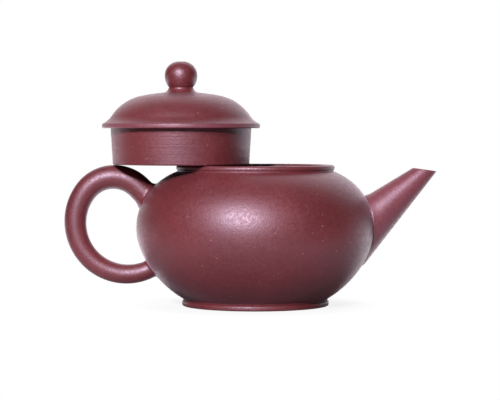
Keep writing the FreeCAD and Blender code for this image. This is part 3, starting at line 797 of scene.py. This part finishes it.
# %% Turn the two rings
FOOT_BEAD = 1.65 * MM
BORE_ROUND, FOOT_ROUND, BEAD_ROUND = 0.4 * MM, 0.5 * MM, 0.55 * MM
CREASE, CREASE_RISE = 0.25 * MM, 0.1 * MM
foot = turned_piece(
    "foot", rounded([
        (foot_bore, 0, BORE_ROUND), (foot_radius, 0, FOOT_ROUND),
        (foot_radius, FOOT_BEAD, BEAD_ROUND), (base_radius - CREASE, FOOT_BEAD + CREASE_RISE, 0),
        (base_radius, foot_top, 0), (foot_bore, foot_top, 0)]),
    [], sides=POT_SIDES)
hand_over(foot, "pot", "foot_ring")

GROOVE_HEIGHT, GROOVE_SLOPE = 0.5 * MM, 0.3 * MM
UNDER_ROUND, RIM_ROUND, MOUTH_ROUND = 0.5 * MM, 0.85 * MM, 0.7 * MM
groove_top = neck_height + GROOVE_HEIGHT
mouth_edge = turned_piece(
    "mouth_edge", rounded([
        (mouth_bore, neck_height, 0), (neck_radius, neck_height, 0),
        (neck_radius, groove_top, 0), (rim_radius, groove_top + GROOVE_SLOPE, UNDER_ROUND),
        (rim_radius, rim_height, RIM_ROUND), (mouth_bore, rim_height, MOUTH_ROUND)]),
    [], sides=POT_SIDES)
hand_over(mouth_edge, "pot", "mouth_ring")

# %% [markdown]
# ## The spout
#
# The spout is a rolled cone of clay on a straight axis. Its tip is cut almost level, so that the
# pot can be filled to the brim. At its root it flares a little on the upper side and ends in a
# crisp seam on the belly. Each line along the cone is found by itself: it starts where the cone
# meets the belly, runs up to the cut, turns over the rounded lip and comes back down inside.

# %% Axis, taper and cut of the spout
SPOUT_RISE = 4.0 * MM
SPOUT_ANGLE = math.radians(41.75)
SPOUT_LENGTH = 24.5 * MM
SKIN_CONE = (7.7 * MM, 3.15 * MM)
BORE_CONE = (5.5 * MM, 2.2 * MM)
LIP_SLOPE = math.radians(8.0)
LIP_ROUND = 0.3 * MM
ROOT_SINK = 0.5 * MM
FLARE, FLARE_REACH = 0.45 * MM, 3.2 * MM
SEAM, SEAM_REACH = 0.22 * MM, 0.35 * MM
ROOT_SEARCH = 14 * MM

spout_origin = Vector((belly_radius, 0, BELLY_LINE + SPOUT_RISE))
spout_axis = Vector((math.cos(SPOUT_ANGLE), 0, math.sin(SPOUT_ANGLE)))
spout_top = Vector((-math.sin(SPOUT_ANGLE), 0, math.cos(SPOUT_ANGLE)))
spout_side = Vector((0, 1, 0))
lip_normal = Vector((math.sin(LIP_SLOPE), 0, math.cos(LIP_SLOPE)))
lip_middle = spout_origin + spout_axis * SPOUT_LENGTH


def on_cone(cone, angle, along, extra=0.0):
    """Point of a cone about the spout's axis; the cone has a radius at its root and at its tip."""
    root, tip = cone
    radius = root + (tip - root) * along / SPOUT_LENGTH + extra
    return (spout_origin + spout_axis * along
            + (spout_top * math.cos(angle) + spout_side * math.sin(angle)) * radius)


def halving(low, high, is_past, times=40):
    """Close in on the value at which a test comes true; gives the last value on either side."""
    for _ in range(times):
        middle = (low + high) / 2
        low, high = (low, middle) if is_past(middle) else (middle, high)
    return low, high


def is_outside(point, line, margin=0.0):
    """Whether a point lies outside a line of the bowl, by more than a margin."""
    return math.hypot(point.x, point.y) > radius_at(line, point.z) + margin


def meets_belly(cone, angle):
    """How far along the axis a line of the cone comes out of the belly."""
    return halving(-ROOT_SEARCH, ROOT_SEARCH,
                   lambda along: is_outside(on_cone(cone, angle, along), outer_line))[1]


def meets_cut(cone, angle):
    """How far along the axis a line of the cone reaches the cut of the lip."""
    near, far = on_cone(cone, angle, 0.0), on_cone(cone, angle, SPOUT_LENGTH)
    below, above = ((p - lip_middle).dot(lip_normal) for p in (near, far))
    return SPOUT_LENGTH * below / (below - above)


print(f"spout rises at {math.degrees(SPOUT_ANGLE):.1f} degrees,"
      f" lip {1000 * lip_middle.z:.1f} mm high")

# %% [markdown]
# A cone cut by two booleans would be quicker to write, but its mesh would be uneven and its edges
# hard. A loft follows the clay. Every line has the same number of points, so neighbours can be
# joined into one even skin. The points lie closest at the root, where the flare and the seam are.


# %% Loft the spout
def bend(start, corner, end, steps=6):
    """A soft bend from start to end around a corner."""
    shares = [step / steps for step in range(steps + 1)]
    return [start * (1 - t) ** 2 + corner * 2 * t * (1 - t) + end * t ** 2 for t in shares]


def spout_line(angle, steps=72, root_detail=1.6, bore_steps=24):
    """One closed line of the spout: up the outside, over the lip and down the bore."""
    root_out, root_in = (meets_belly(cone, angle) for cone in (SKIN_CONE, BORE_CONE))
    cut_out, cut_in = (meets_cut(cone, angle) for cone in (SKIN_CONE, BORE_CONE))
    upper = (1 + math.cos(angle)) / 2
    points = []
    for step in range(steps + 1):
        share = (step / steps) ** root_detail
        along = root_out - ROOT_SINK + (cut_out - LIP_ROUND - root_out + ROOT_SINK) * share
        rise = along - root_out
        flare = FLARE * upper * max(0.0, 1 - max(rise, 0.0) / FLARE_REACH) ** 2
        groove = SEAM * max(0.0, 1 - abs(rise) / SEAM_REACH)
        points.append(on_cone(SKIN_CONE, angle, along, flare - groove))
    lip_out = on_cone(SKIN_CONE, angle, cut_out)
    lip_in = on_cone(BORE_CONE, angle, cut_in)
    across = (lip_in - lip_out).normalized() * LIP_ROUND
    inside_lip = on_cone(BORE_CONE, angle, cut_in - LIP_ROUND)
    points += bend(points.pop(), lip_out, lip_out + across)
    points += bend(lip_in - across, lip_in, inside_lip)
    bore_end = root_in - ROOT_SINK
    for step in range(1, bore_steps + 1):
        along = cut_in - LIP_ROUND + (bore_end - cut_in + LIP_ROUND) * step / bore_steps
        points.append(on_cone(BORE_CONE, angle, along))
    return points


def loft(name, lines):
    """A closed skin over closed lines that stand side by side in a ring."""
    rows = len(lines[0])
    mesh = bpy.data.meshes.new(name)
    faces = []
    for column in range(len(lines)):
        beside = (column + 1) % len(lines)
        for row in range(rows):
            above = (row + 1) % rows
            faces.append((column * rows + above, beside * rows + above,
                          beside * rows + row, column * rows + row))
    mesh.from_pydata([p for line in lines for p in line], [], faces)
    return put_in_scene(name, mesh)


SPOUT_SIDES = 112
spout = loft("spout_tube", [spout_line(2 * math.pi * side / SPOUT_SIDES)
                            for side in range(SPOUT_SIDES)])
print(f"{spout.name}: {len(spout.data.polygons)} faces")

# %% [markdown]
# ## A finishing tree for lofted pieces
#
# A lofted piece needs the last steps of the wheel's tree too: smooth shading with crisp corners, and
# the clay. Both could be set by hand in the mesh. A short tree sets them in the same way as for
# every other piece, so that the spout can't end up shaded in another way than the belly beside it.


# %% Dress a lofted piece
def build_dresser():
    """A tree that only shades a piece and sets its clay."""
    tree, given = new_tree("clay_dresser", {"Clay": "Material"})
    close_tree(tree, given["Geometry"], given["Clay"])
    return tree


dresser = build_dresser()
# The spout gets the lighter, pinker clay, which paints light and sheen onto it.
run_tree(spout, dresser, clay=lit_rosy_clay)
hand_over(spout, "pot", "spout")

# %% [markdown]
# ## Piercing the clay
#
# Behind the spout the wall has one wide hole, and a thin dome with many small holes covers it on
# the inside, to hold the leaves back. Holes that repeat are work for geometry nodes: a set of
# points says where and in which direction to drill, a tapered drill is placed on each, and one
# boolean takes them all away. The maker's awl never hits twice the same, so a fixed seed makes
# the small holes a little wider or narrower.

# %% The piercing tree
DRILL_SIDES = 28


def build_awl():
    """A tree that drills a piece at the points of another object, along their directions."""
    tree, given = new_tree("clay_awl", {
        "Drill Points": "Object", "Tip Radius": "Float", "End Radius": "Float", "Depth": "Float",
        "Variation": "Float", "Seed": "Int", "Clay": "Material"})
    marks = add(tree, "GeometryNodeObjectInfo", {"Object": given["Drill Points"]})
    aim = add(tree, "GeometryNodeInputNamedAttribute", {"Name": "aim"}, data_type="FLOAT_VECTOR")
    turned = add(tree, "FunctionNodeAlignRotationToVector", {"Vector": aim.outputs[0]}, axis="Z")
    drill = add(tree, "GeometryNodeMeshCone",
                {"Vertices": DRILL_SIDES, "Radius Top": given["End Radius"],
                 "Radius Bottom": given["Tip Radius"], "Depth": given["Depth"]})
    size = add(tree, "FunctionNodeRandomValue",
               {2: calc(tree, "SUBTRACT", 1.0, given["Variation"]),
                3: calc(tree, "ADD", 1.0, given["Variation"]), "Seed": given["Seed"]},
               data_type="FLOAT")
    width = size.outputs[1]
    wider = add(tree, "ShaderNodeCombineXYZ", {"X": width, "Y": width, "Z": 1.0})
    drills = add(tree, "GeometryNodeInstanceOnPoints",
                 {"Points": marks.outputs["Geometry"], "Instance": drill.outputs[0],
                  "Rotation": turned.outputs[0], "Scale": wider.outputs[0]})
    whole = add(tree, "GeometryNodeRealizeInstances", {"Geometry": drills.outputs[0]})
    pierced = add(tree, "GeometryNodeMeshBoolean",
                  {"Mesh 1": given["Geometry"], "Mesh 2": whole.outputs[0]},
                  operation="DIFFERENCE", solver="EXACT")
    close_tree(tree, pierced.outputs[0], given["Clay"])
    return tree


def drill_points(name, places, aims):
    """An object that marks where to drill and in which direction."""
    mesh = bpy.data.meshes.new(name)
    mesh.from_pydata(places, [], [])
    aim = mesh.attributes.new("aim", "FLOAT_VECTOR", "POINT")
    aim.data.foreach_set("vector", [number for vector in aims for number in vector])
    return put_in_scene(name, mesh)


awl = build_awl()
print(f"{awl.name}: {len(awl.nodes)} nodes")

# %% [markdown]
# The hole in the belly carries on the bore of the spout, so one tapered drill with the same slope
# is enough. It only has to go through the wall, because the spout was lofted with its bore.

# %% Open the belly behind the spout
BORE_DEPTH = 16 * MM
bore_root, bore_tip = BORE_CONE
bore_slope = (bore_root - bore_tip) / SPOUT_LENGTH
bore_mark = drill_points("bore_mark", [spout_origin - spout_axis * BORE_DEPTH / 2], [spout_axis])
run_tree(belly, awl, drill_points=bore_mark, tip_radius=bore_root + bore_slope * BORE_DEPTH / 2,
         end_radius=bore_root - bore_slope * BORE_DEPTH / 2, depth=BORE_DEPTH, variation=0.0,
         seed=0, clay=clay)
bpy.data.objects.remove(bore_mark)
hand_over(belly, "pot", "belly_wall")

# %% [markdown]
# The strainer is a thin half ball, pressed over the hole from the inside. Its edge sinks a little
# into a wall that curves two ways. So every line of the dome is followed until it is that deep in
# the wall, and the lines are lofted like those of the spout.

# %% Form the strainer dome
STRAINER_RADIUS = 8.5 * MM
STRAINER_WALL = 1.5 * MM
STRAINER_HOLE = 0.9 * MM
STRAINER_RINGS = ((0, 1), (28, 6), (55, 11))
STRAINER_SINK = 0.4 * MM
DOME_START = math.radians(0.5)
DOME_SEARCH = (math.radians(40), math.radians(110))
strainer_centre = Vector((belly_radius - WALL, 0,
                          spout_origin.z - WALL * math.tan(SPOUT_ANGLE)))


def on_dome(radius, polar, around):
    """Point of the dome; polar counts from the middle of the dome, which looks into the pot."""
    return strainer_centre + radius * Vector((
        -math.cos(polar), math.sin(polar) * math.sin(around), math.sin(polar) * math.cos(around)))


def dome_edge(radius, around):
    """The polar angle at which the dome has sunk a little into the wall."""

    def is_sunk(polar):
        return is_outside(on_dome(radius, polar, around), inner_line, STRAINER_SINK)

    return halving(*DOME_SEARCH, is_sunk)[0]


def dome_line(around, steps=30):
    """One line of the dome's shell, from the middle of its outside round to the middle inside."""
    shares = [step / steps for step in range(steps + 1)]
    sides = []
    for radius in (STRAINER_RADIUS, STRAINER_RADIUS - STRAINER_WALL):
        span = dome_edge(radius, around) - DOME_START
        sides.append([on_dome(radius, DOME_START + span * share, around) for share in shares])
    outside, inside = sides
    return outside + inside[::-1]


DOME_SIDES = 72
dome_lines = [dome_line(2 * math.pi * side / DOME_SIDES) for side in range(DOME_SIDES)]
strainer = loft("strainer", dome_lines)
print(f"{strainer.name}: {len(strainer.data.polygons)} faces before piercing")

# %% [markdown]
# The dome's lines all start and end half a degree off its middle, where the loft left a needle-thin
# tube. It is taken out and the two small rings that remain are closed, so that the dome is one
# sound shell before the awl goes in.

# %% Close the middle of the dome and drill it
shell = bmesh.new()
shell.from_mesh(strainer.data)
rows = len(dome_lines[0])
shell.verts.ensure_lookup_table()
outer_ring = [shell.verts[side * rows] for side in range(DOME_SIDES)]
inner_ring = [shell.verts[side * rows + rows - 1] for side in range(DOME_SIDES)]
tube = [face for face in shell.faces
        if all(vert in outer_ring or vert in inner_ring for vert in face.verts)]
bmesh.ops.delete(shell, geom=tube, context="FACES_ONLY")
for ring in (outer_ring, inner_ring):
    middle = sum((vert.co for vert in ring), Vector()) / len(ring)
    bmesh.ops.pointmerge(shell, verts=ring, merge_co=middle)
bmesh.ops.recalc_face_normals(shell, faces=shell.faces)
shell.to_mesh(strainer.data)
shell.free()

places, aims = [], []
for polar, count in STRAINER_RINGS:
    for hole in range(count):
        place = on_dome(STRAINER_RADIUS - STRAINER_WALL / 2, math.radians(polar),
                        2 * math.pi * hole / count)
        places.append(place)
        aims.append((place - strainer_centre).normalized())
hole_depth = 3 * STRAINER_WALL
hole_starts = [place - aim * hole_depth / 2 for place, aim in zip(places, aims)]
hole_marks = drill_points("hole_marks", hole_starts, aims)
run_tree(strainer, awl, drill_points=hole_marks, tip_radius=STRAINER_HOLE,
         end_radius=STRAINER_HOLE, depth=hole_depth, variation=0.07, seed=11, clay=clay)
bpy.data.objects.remove(hole_marks)
hand_over(strainer, "pot", "strainer_dome")

# %% [markdown]
# ## The handle
#
# The handle is a coil of clay, rolled thinner towards one end and bent to an ear: a tight bend at
# the top, a wide one below. Slip fills the corner where it meets the belly, and a finger presses
# more of it in above and below the upper end. The path is drawn first: two arcs that flow into each
# other, with a straight end on either side that runs into the wall.

# %% The path of the handle
HANDLE_OFFSET = 7.9 * MM
UPPER_CURVE, LOWER_CURVE = 12.35 * MM, 18.2 * MM
HANDLE_START, HANDLE_TURN, HANDLE_END = 45.0, 143.0, 295.0
UPPER_COIL, CREST_COIL, LOWER_COIL = 4.45 * MM, 4.2 * MM, 3.1 * MM
COIL_SINK = 8.0 * MM
COIL_STEP = 0.2 * MM
TINY = 1e-9

crest = Vector((-(belly_radius + HANDLE_OFFSET), rim_height - CREST_COIL))
upper_centre = crest - Vector((0, UPPER_CURVE))
turn_point = arc_about(upper_centre, UPPER_CURVE, HANDLE_TURN, HANDLE_TURN, steps=1)[0]
lower_centre = turn_point + (upper_centre - turn_point).normalized() * LOWER_CURVE
coil_line = (arc_about(upper_centre, UPPER_CURVE, HANDLE_START, 90)
             + arc_about(upper_centre, UPPER_CURVE, 90, HANDLE_TURN)[1:]
             + arc_about(lower_centre, LOWER_CURVE, HANDLE_TURN, HANDLE_END)[1:])
run_in = (coil_line[0] - coil_line[1]).normalized() * COIL_SINK
run_out = (coil_line[-1] - coil_line[-2]).normalized() * COIL_SINK
coil_line = [coil_line[0] + run_in] + coil_line + [coil_line[-1] + run_out]

coil_lengths = lengths_along(coil_line)
crest_length = next(length for point, length in zip(coil_line, coil_lengths)
                    if (point - crest).length < CLOSE)


def coil_at(length):
    """Point of the coil's middle line at a length along it."""
    index = next(i for i in range(1, len(coil_line)) if coil_lengths[i] >= length - TINY)
    span = coil_lengths[index] - coil_lengths[index - 1]
    return coil_line[index - 1].lerp(coil_line[index], (length - coil_lengths[index - 1]) / span)


def coil_thickness(length):
    """Radius of the coil at a length along it."""
    if length < crest_length:
        return UPPER_COIL + (CREST_COIL - UPPER_COIL) * length / crest_length
    share = (length - crest_length) / (coil_lengths[-1] - crest_length)
    return CREST_COIL + (LOWER_COIL - CREST_COIL) * share


BURIED = 1.2 * MM
step_lengths = [COIL_STEP * step for step in range(int(coil_lengths[-1] / COIL_STEP))]
kept_lengths = [length for length in step_lengths
                if abs(coil_at(length).x) > radius_at(outer_line, coil_at(length).y) - BURIED]
print(f"handle coil {1000 * (kept_lengths[-1] - kept_lengths[0]):.0f} mm long,"
      f" crest {1000 * crest.y:.1f} mm high")

# %% [markdown]
# A curve with a bevel would give the plain coil. The tree rolls a tube as well, and then measures
# how far each of its points is from the belly's skin. Where the gap is small, the tube swells along
# its normal, as a fillet of slip does. The named inputs say how wide the fillet is, and how much
# wider around one height.

# %% Roll the coil and lute it on
SLIP, FILLET_SHARE = 0.9 * MM, 0.62
EXTRA_SLIP, EXTRA_HEIGHT, EXTRA_REACH = 3.4 * MM, 38 * MM, 9 * MM
UNEVEN_COIL = 0.08 * MM
COIL_SIDES = 64


def build_coil():
    """A tree that rolls a tube along a path and swells it close to the belly."""
    tree, given = new_tree("clay_coil", {
        "Sides": "Int", "Belly": "Object", "Belly Middle": "Vector", "Slip": "Float",
        "Extra Slip": "Float", "Extra Height": "Float", "Extra Reach": "Float",
        "Unevenness": "Float", "Seed": "Int", "Clay": "Material"})
    path = add(tree, "GeometryNodeMeshToCurve", {0: given["Geometry"]})
    thickness = add(tree, "GeometryNodeInputNamedAttribute", {"Name": "thickness"},
                    data_type="FLOAT")
    ring = add(tree, "GeometryNodeCurvePrimitiveCircle",
               {"Resolution": given["Sides"], "Radius": 1.0})
    tube = add(tree, "GeometryNodeCurveToMesh",
               {"Curve": path.outputs[0], "Profile Curve": ring.outputs[0],
                "Scale": thickness.outputs[0], "Fill Caps": True})
    spot = add(tree, "GeometryNodeInputPosition").outputs[0]
    belly_skin = add(tree, "GeometryNodeObjectInfo", {"Object": given["Belly"]})
    nearest = add(tree, "GeometryNodeProximity", {0: belly_skin.outputs["Geometry"]})
    away = add(tree, "ShaderNodeVectorMath", {0: spot, 1: nearest.outputs["Position"]},
               operation="SUBTRACT")
    outward = add(tree, "ShaderNodeVectorMath",
                  {0: nearest.outputs["Position"], 1: given["Belly Middle"]}, operation="SUBTRACT")
    side = add(tree, "ShaderNodeVectorMath", {0: away.outputs[0], 1: outward.outputs[0]},
               operation="DOT_PRODUCT").outputs["Value"]
    gap = calc(tree, "MULTIPLY", nearest.outputs["Distance"], calc(tree, "GREATER_THAN", side, 0.0))
    height = add(tree, "ShaderNodeSeparateXYZ", {0: spot}).outputs["Z"]
    from_extra = calc(tree, "ABSOLUTE", calc(tree, "SUBTRACT", height, given["Extra Height"]))
    near_extra = ramp(tree, calc(tree, "DIVIDE", from_extra, given["Extra Reach"]), 1.0, 0.0)
    normal = add(tree, "GeometryNodeInputNormal").outputs[0]
    upright = add(tree, "ShaderNodeSeparateXYZ", {0: normal}).outputs["Z"]
    extra = calc(tree, "MULTIPLY", near_extra, calc(tree, "ABSOLUTE", upright))
    slip = calc(tree, "MULTIPLY_ADD", extra, given["Extra Slip"], given["Slip"])
    filled = calc(tree, "SUBTRACT", 1.0, calc(tree, "DIVIDE", gap, slip))
    closeness = calc(tree, "MAXIMUM", filled, 0.0)
    hollow = calc(tree, "SQRT", calc(tree, "SUBTRACT", 1.0, calc(tree, "POWER", closeness, 2.0)))
    fullest = calc(tree, "MULTIPLY", slip, FILLET_SHARE)
    fillet = calc(tree, "MULTIPLY", calc(tree, "SUBTRACT", 1.0, hollow), fullest)
    lump = seeded_noise(tree, spot, given["Seed"], 1 / UNEVEN_SIZE)
    swell = calc(tree, "MULTIPLY", lump, given["Unevenness"])
    offset = add(tree, "ShaderNodeVectorMath",
                 {0: normal, "Scale": calc(tree, "ADD", fillet, swell)}, operation="SCALE")
    luted = add(tree, "GeometryNodeSetPosition",
                {"Geometry": tube.outputs[0], "Offset": offset.outputs[0]})
    close_tree(tree, luted.outputs[0], given["Clay"])
    return tree


coil_mesh = bpy.data.meshes.new("handle_coil")
coil_points = [coil_at(length) for length in kept_lengths]
coil_mesh.from_pydata([(p.x, 0, p.y) for p in coil_points],
                      [(i, i + 1) for i in range(len(coil_points) - 1)], [])
thickness = coil_mesh.attributes.new("thickness", "FLOAT", "POINT")
thickness.data.foreach_set("value", [coil_thickness(length) for length in kept_lengths])
handle = put_in_scene("handle_coil", coil_mesh)
run_tree(handle, build_coil(), sides=COIL_SIDES, belly=belly, belly_middle=(0, 0, BELLY_LINE),
         slip=SLIP, extra_slip=EXTRA_SLIP, extra_height=EXTRA_HEIGHT, extra_reach=EXTRA_REACH,
         unevenness=UNEVEN_COIL, seed=5, clay=clay)
hand_over(handle, "pot", "handle")

# %% [markdown]
# ## The lid
#
# The lid is a small building of its own: a deep ring that drops into the mouth, a thin flat plate
# that lies on the mouth's edge, a domed cover that flares out to the plate, and a ball knob on a
# short neck. Its four skins are turned about the axis of the parked lid. The wall of the deep ring
# has many fine rows, because the wheel can only leave tool lines where there are points to move.

# %% The ring below the plate, and the plate
flange_radius = reach("lid_flange", lid_axis)[1]
flange_low, plate_low = heights("lid_flange")
plate_top = heights("lid_plate")[1]
lid_radius = reach("lid_plate", lid_axis)[1]
FLANGE_DRAFT = 0.75 * MM
FLANGE_WALL = 2.4 * MM
FLANGE_ROUND = 0.5 * MM
FLANGE_MARKS = 0.065 * MM
PLATE_UNDER_ROUND, PLATE_TOP_ROUND = 0.45 * MM, 0.25 * MM
LID_SIDES = 220
flange_tip = flange_radius - FLANGE_DRAFT
flange_inside = flange_radius - FLANGE_WALL

flange_outline = rounded([
    (flange_tip - FLANGE_WALL, flange_low, FLANGE_ROUND), (flange_tip, flange_low, FLANGE_ROUND),
    (flange_radius, plate_low, 0), (flange_inside, plate_low, 0)])
outer_side = [i for i, p in enumerate(flange_outline) if p.x > flange_tip - FLANGE_WALL / 2]
first, last = outer_side[-2], outer_side[-1]
flange_wall = evenly(flange_outline[first:last + 1], count=90)
flange = turned_piece(
    "lid_neck", flange_outline[:first] + flange_wall,
    evenly([flange_outline[-1], flange_outline[0]], count=40)[:-1],
    axis_x=lid_axis, marks=FLANGE_MARKS, seed=9)
hand_over(flange, "lid", "lid_flange")

# The plate gets the lighter, pinker clay, which paints light onto its edge.
plate = turned_piece(
    "lid_edge", rounded([
        (flange_inside, plate_low, 0), (lid_radius, plate_low, PLATE_UNDER_ROUND),
        (lid_radius, plate_top, PLATE_TOP_ROUND), (flange_inside, plate_top, 0)]),
    [], axis_x=lid_axis, sides=LID_SIDES, finish=lit_rosy_clay)
hand_over(plate, "lid", "lid_plate")

# %% [markdown]
# The cover is a shallow cap that falls away near its edge and then flares out to the plate. Three
# arcs that flow into each other draw its top, and two draw the hollow below. A flattened sphere
# would be simpler, but it would lack the flare, which catches the light above the plate.

# %% The domed cover
CROWN_CURVE = 71.0 * MM
CROWN_TURN = 11.0
DOME_RISE = 11.2 * MM
DOME_WALL = 2.4 * MM
FLARE_WIDTH, FLARE_RISE = 3.3 * MM, 2.7 * MM
EDGE_SETBACK = 0.25 * MM
KNOB_FOOT = 5.2 * MM
vent_radius, knob_reach = reach("knob", lid_axis)
knob_seat, knob_top = heights("knob")
crown_centre = Vector((0, plate_top + DOME_RISE - CROWN_CURVE))


def crown_arc(curve, first_radius):
    """The top of the dome from a radius out to where it starts to fall away."""
    start = 90 - math.degrees(math.asin(first_radius / curve))
    return arc_about(crown_centre, curve, start, 90 - CROWN_TURN)


cover_line = crown_arc(CROWN_CURVE, KNOB_FOOT)
cover_line = arc_onward(cover_line, (lid_radius - FLARE_WIDTH, plate_top + FLARE_RISE))
cover_line = arc_onward(cover_line, (lid_radius, plate_top))
cover_line = [p for p in cover_line if p.x < lid_radius - EDGE_SETBACK]
recess_line = arc_onward(crown_arc(CROWN_CURVE - DOME_WALL, vent_radius),
                         (flange_inside, plate_top))
cover = turned_piece(
    "lid_cover",
    [Vector((cover_line[-1].x, plate_top))] + evenly(cover_line, count=110)[::-1]
    + [Vector((vent_radius, knob_seat))],
    evenly(recess_line, count=60), axis_x=lid_axis, sides=LID_SIDES)
hand_over(cover, "lid", "lid_dome")

# %% [markdown]
# The knob is a small ball on a short flared neck, with a fine collar between them and a steam vent
# along its axis. Its section starts at the foot of the neck, runs over the collar and the ball to
# the vent, and goes back down inside. A plain ball looks meagre next to a hand-rolled one. So its
# sine and cosine are taken to a power just below one, which fills it out.

# %% The ball knob on its neck
KNOB_RISE = 5.8 * MM
KNOB_NECK = 4.05 * MM
COLLAR = 4.36 * MM
COLLAR_ROUND, COLLAR_BEND = 0.30 * MM, range(-10, 81, 10)
FLARE_TILT = math.radians(25)
VENT_ROUND = 0.25 * MM
PLUMP = 0.93
TOP_RISE = 0.1 * MM
FOOT_SPREAD, FOOT_SINK = 0.75 * MM, 0.1 * MM
KNOB_SINK = 0.4 * MM
BALL_STEPS = 72
KNOB_SIDES = 128
knob_centre = Vector((0, knob_seat + KNOB_RISE))
knob_height = knob_top - knob_centre.y + TOP_RISE
ball_low = -math.acos(KNOB_NECK / knob_reach)
ball_high = math.acos((vent_radius + VENT_ROUND) / knob_reach)
ball = []
for step in range(BALL_STEPS + 1):
    angle = ball_low + (ball_high - ball_low) * step / BALL_STEPS
    tall = knob_height if angle > 0 else -knob_reach
    ball.append(knob_centre + Vector((knob_reach * math.cos(angle) ** PLUMP,
                                      tall * abs(math.sin(angle)) ** PLUMP)))
collar_middle = Vector((COLLAR - COLLAR_ROUND, ball[0].y - COLLAR_ROUND))
collar = [collar_middle + COLLAR_ROUND * turn(Vector((1, 0)), math.radians(degrees))
          for degrees in COLLAR_BEND]
downward = turn(Vector((0, -COLLAR_ROUND)), FLARE_TILT)
flare = arc_onward([collar[0] - downward, collar[0]],
                   (KNOB_FOOT + FOOT_SPREAD, knob_seat - FOOT_SINK), steps=16)[2:]
knob_bottom = knob_seat - KNOB_SINK
knob = turned_piece(
    "knob_ball", [Vector((flare[-1].x, knob_bottom))] + flare[::-1] + collar + ball,
    [Vector((vent_radius, ball[-1].y - VENT_ROUND)), Vector((vent_radius, knob_bottom))],
    axis_x=lid_axis, sides=KNOB_SIDES, finish=polished_clay)
hand_over(knob, "lid", "knob")

# %% [markdown]
# ## Last measures
#
# The dressed pot has to keep the size of the solid model. Both boxes are written down side by side.

# %% Write both boxes and finish
bpy.context.scene.view_settings.view_transform = "Standard"
dressed_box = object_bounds()
for corner, dressed in zip(cad_box, dressed_box):
    print("solid", [round(1000 * v, 2) for v in corner], "dressed",
          [round(1000 * v, 2) for v in dressed])
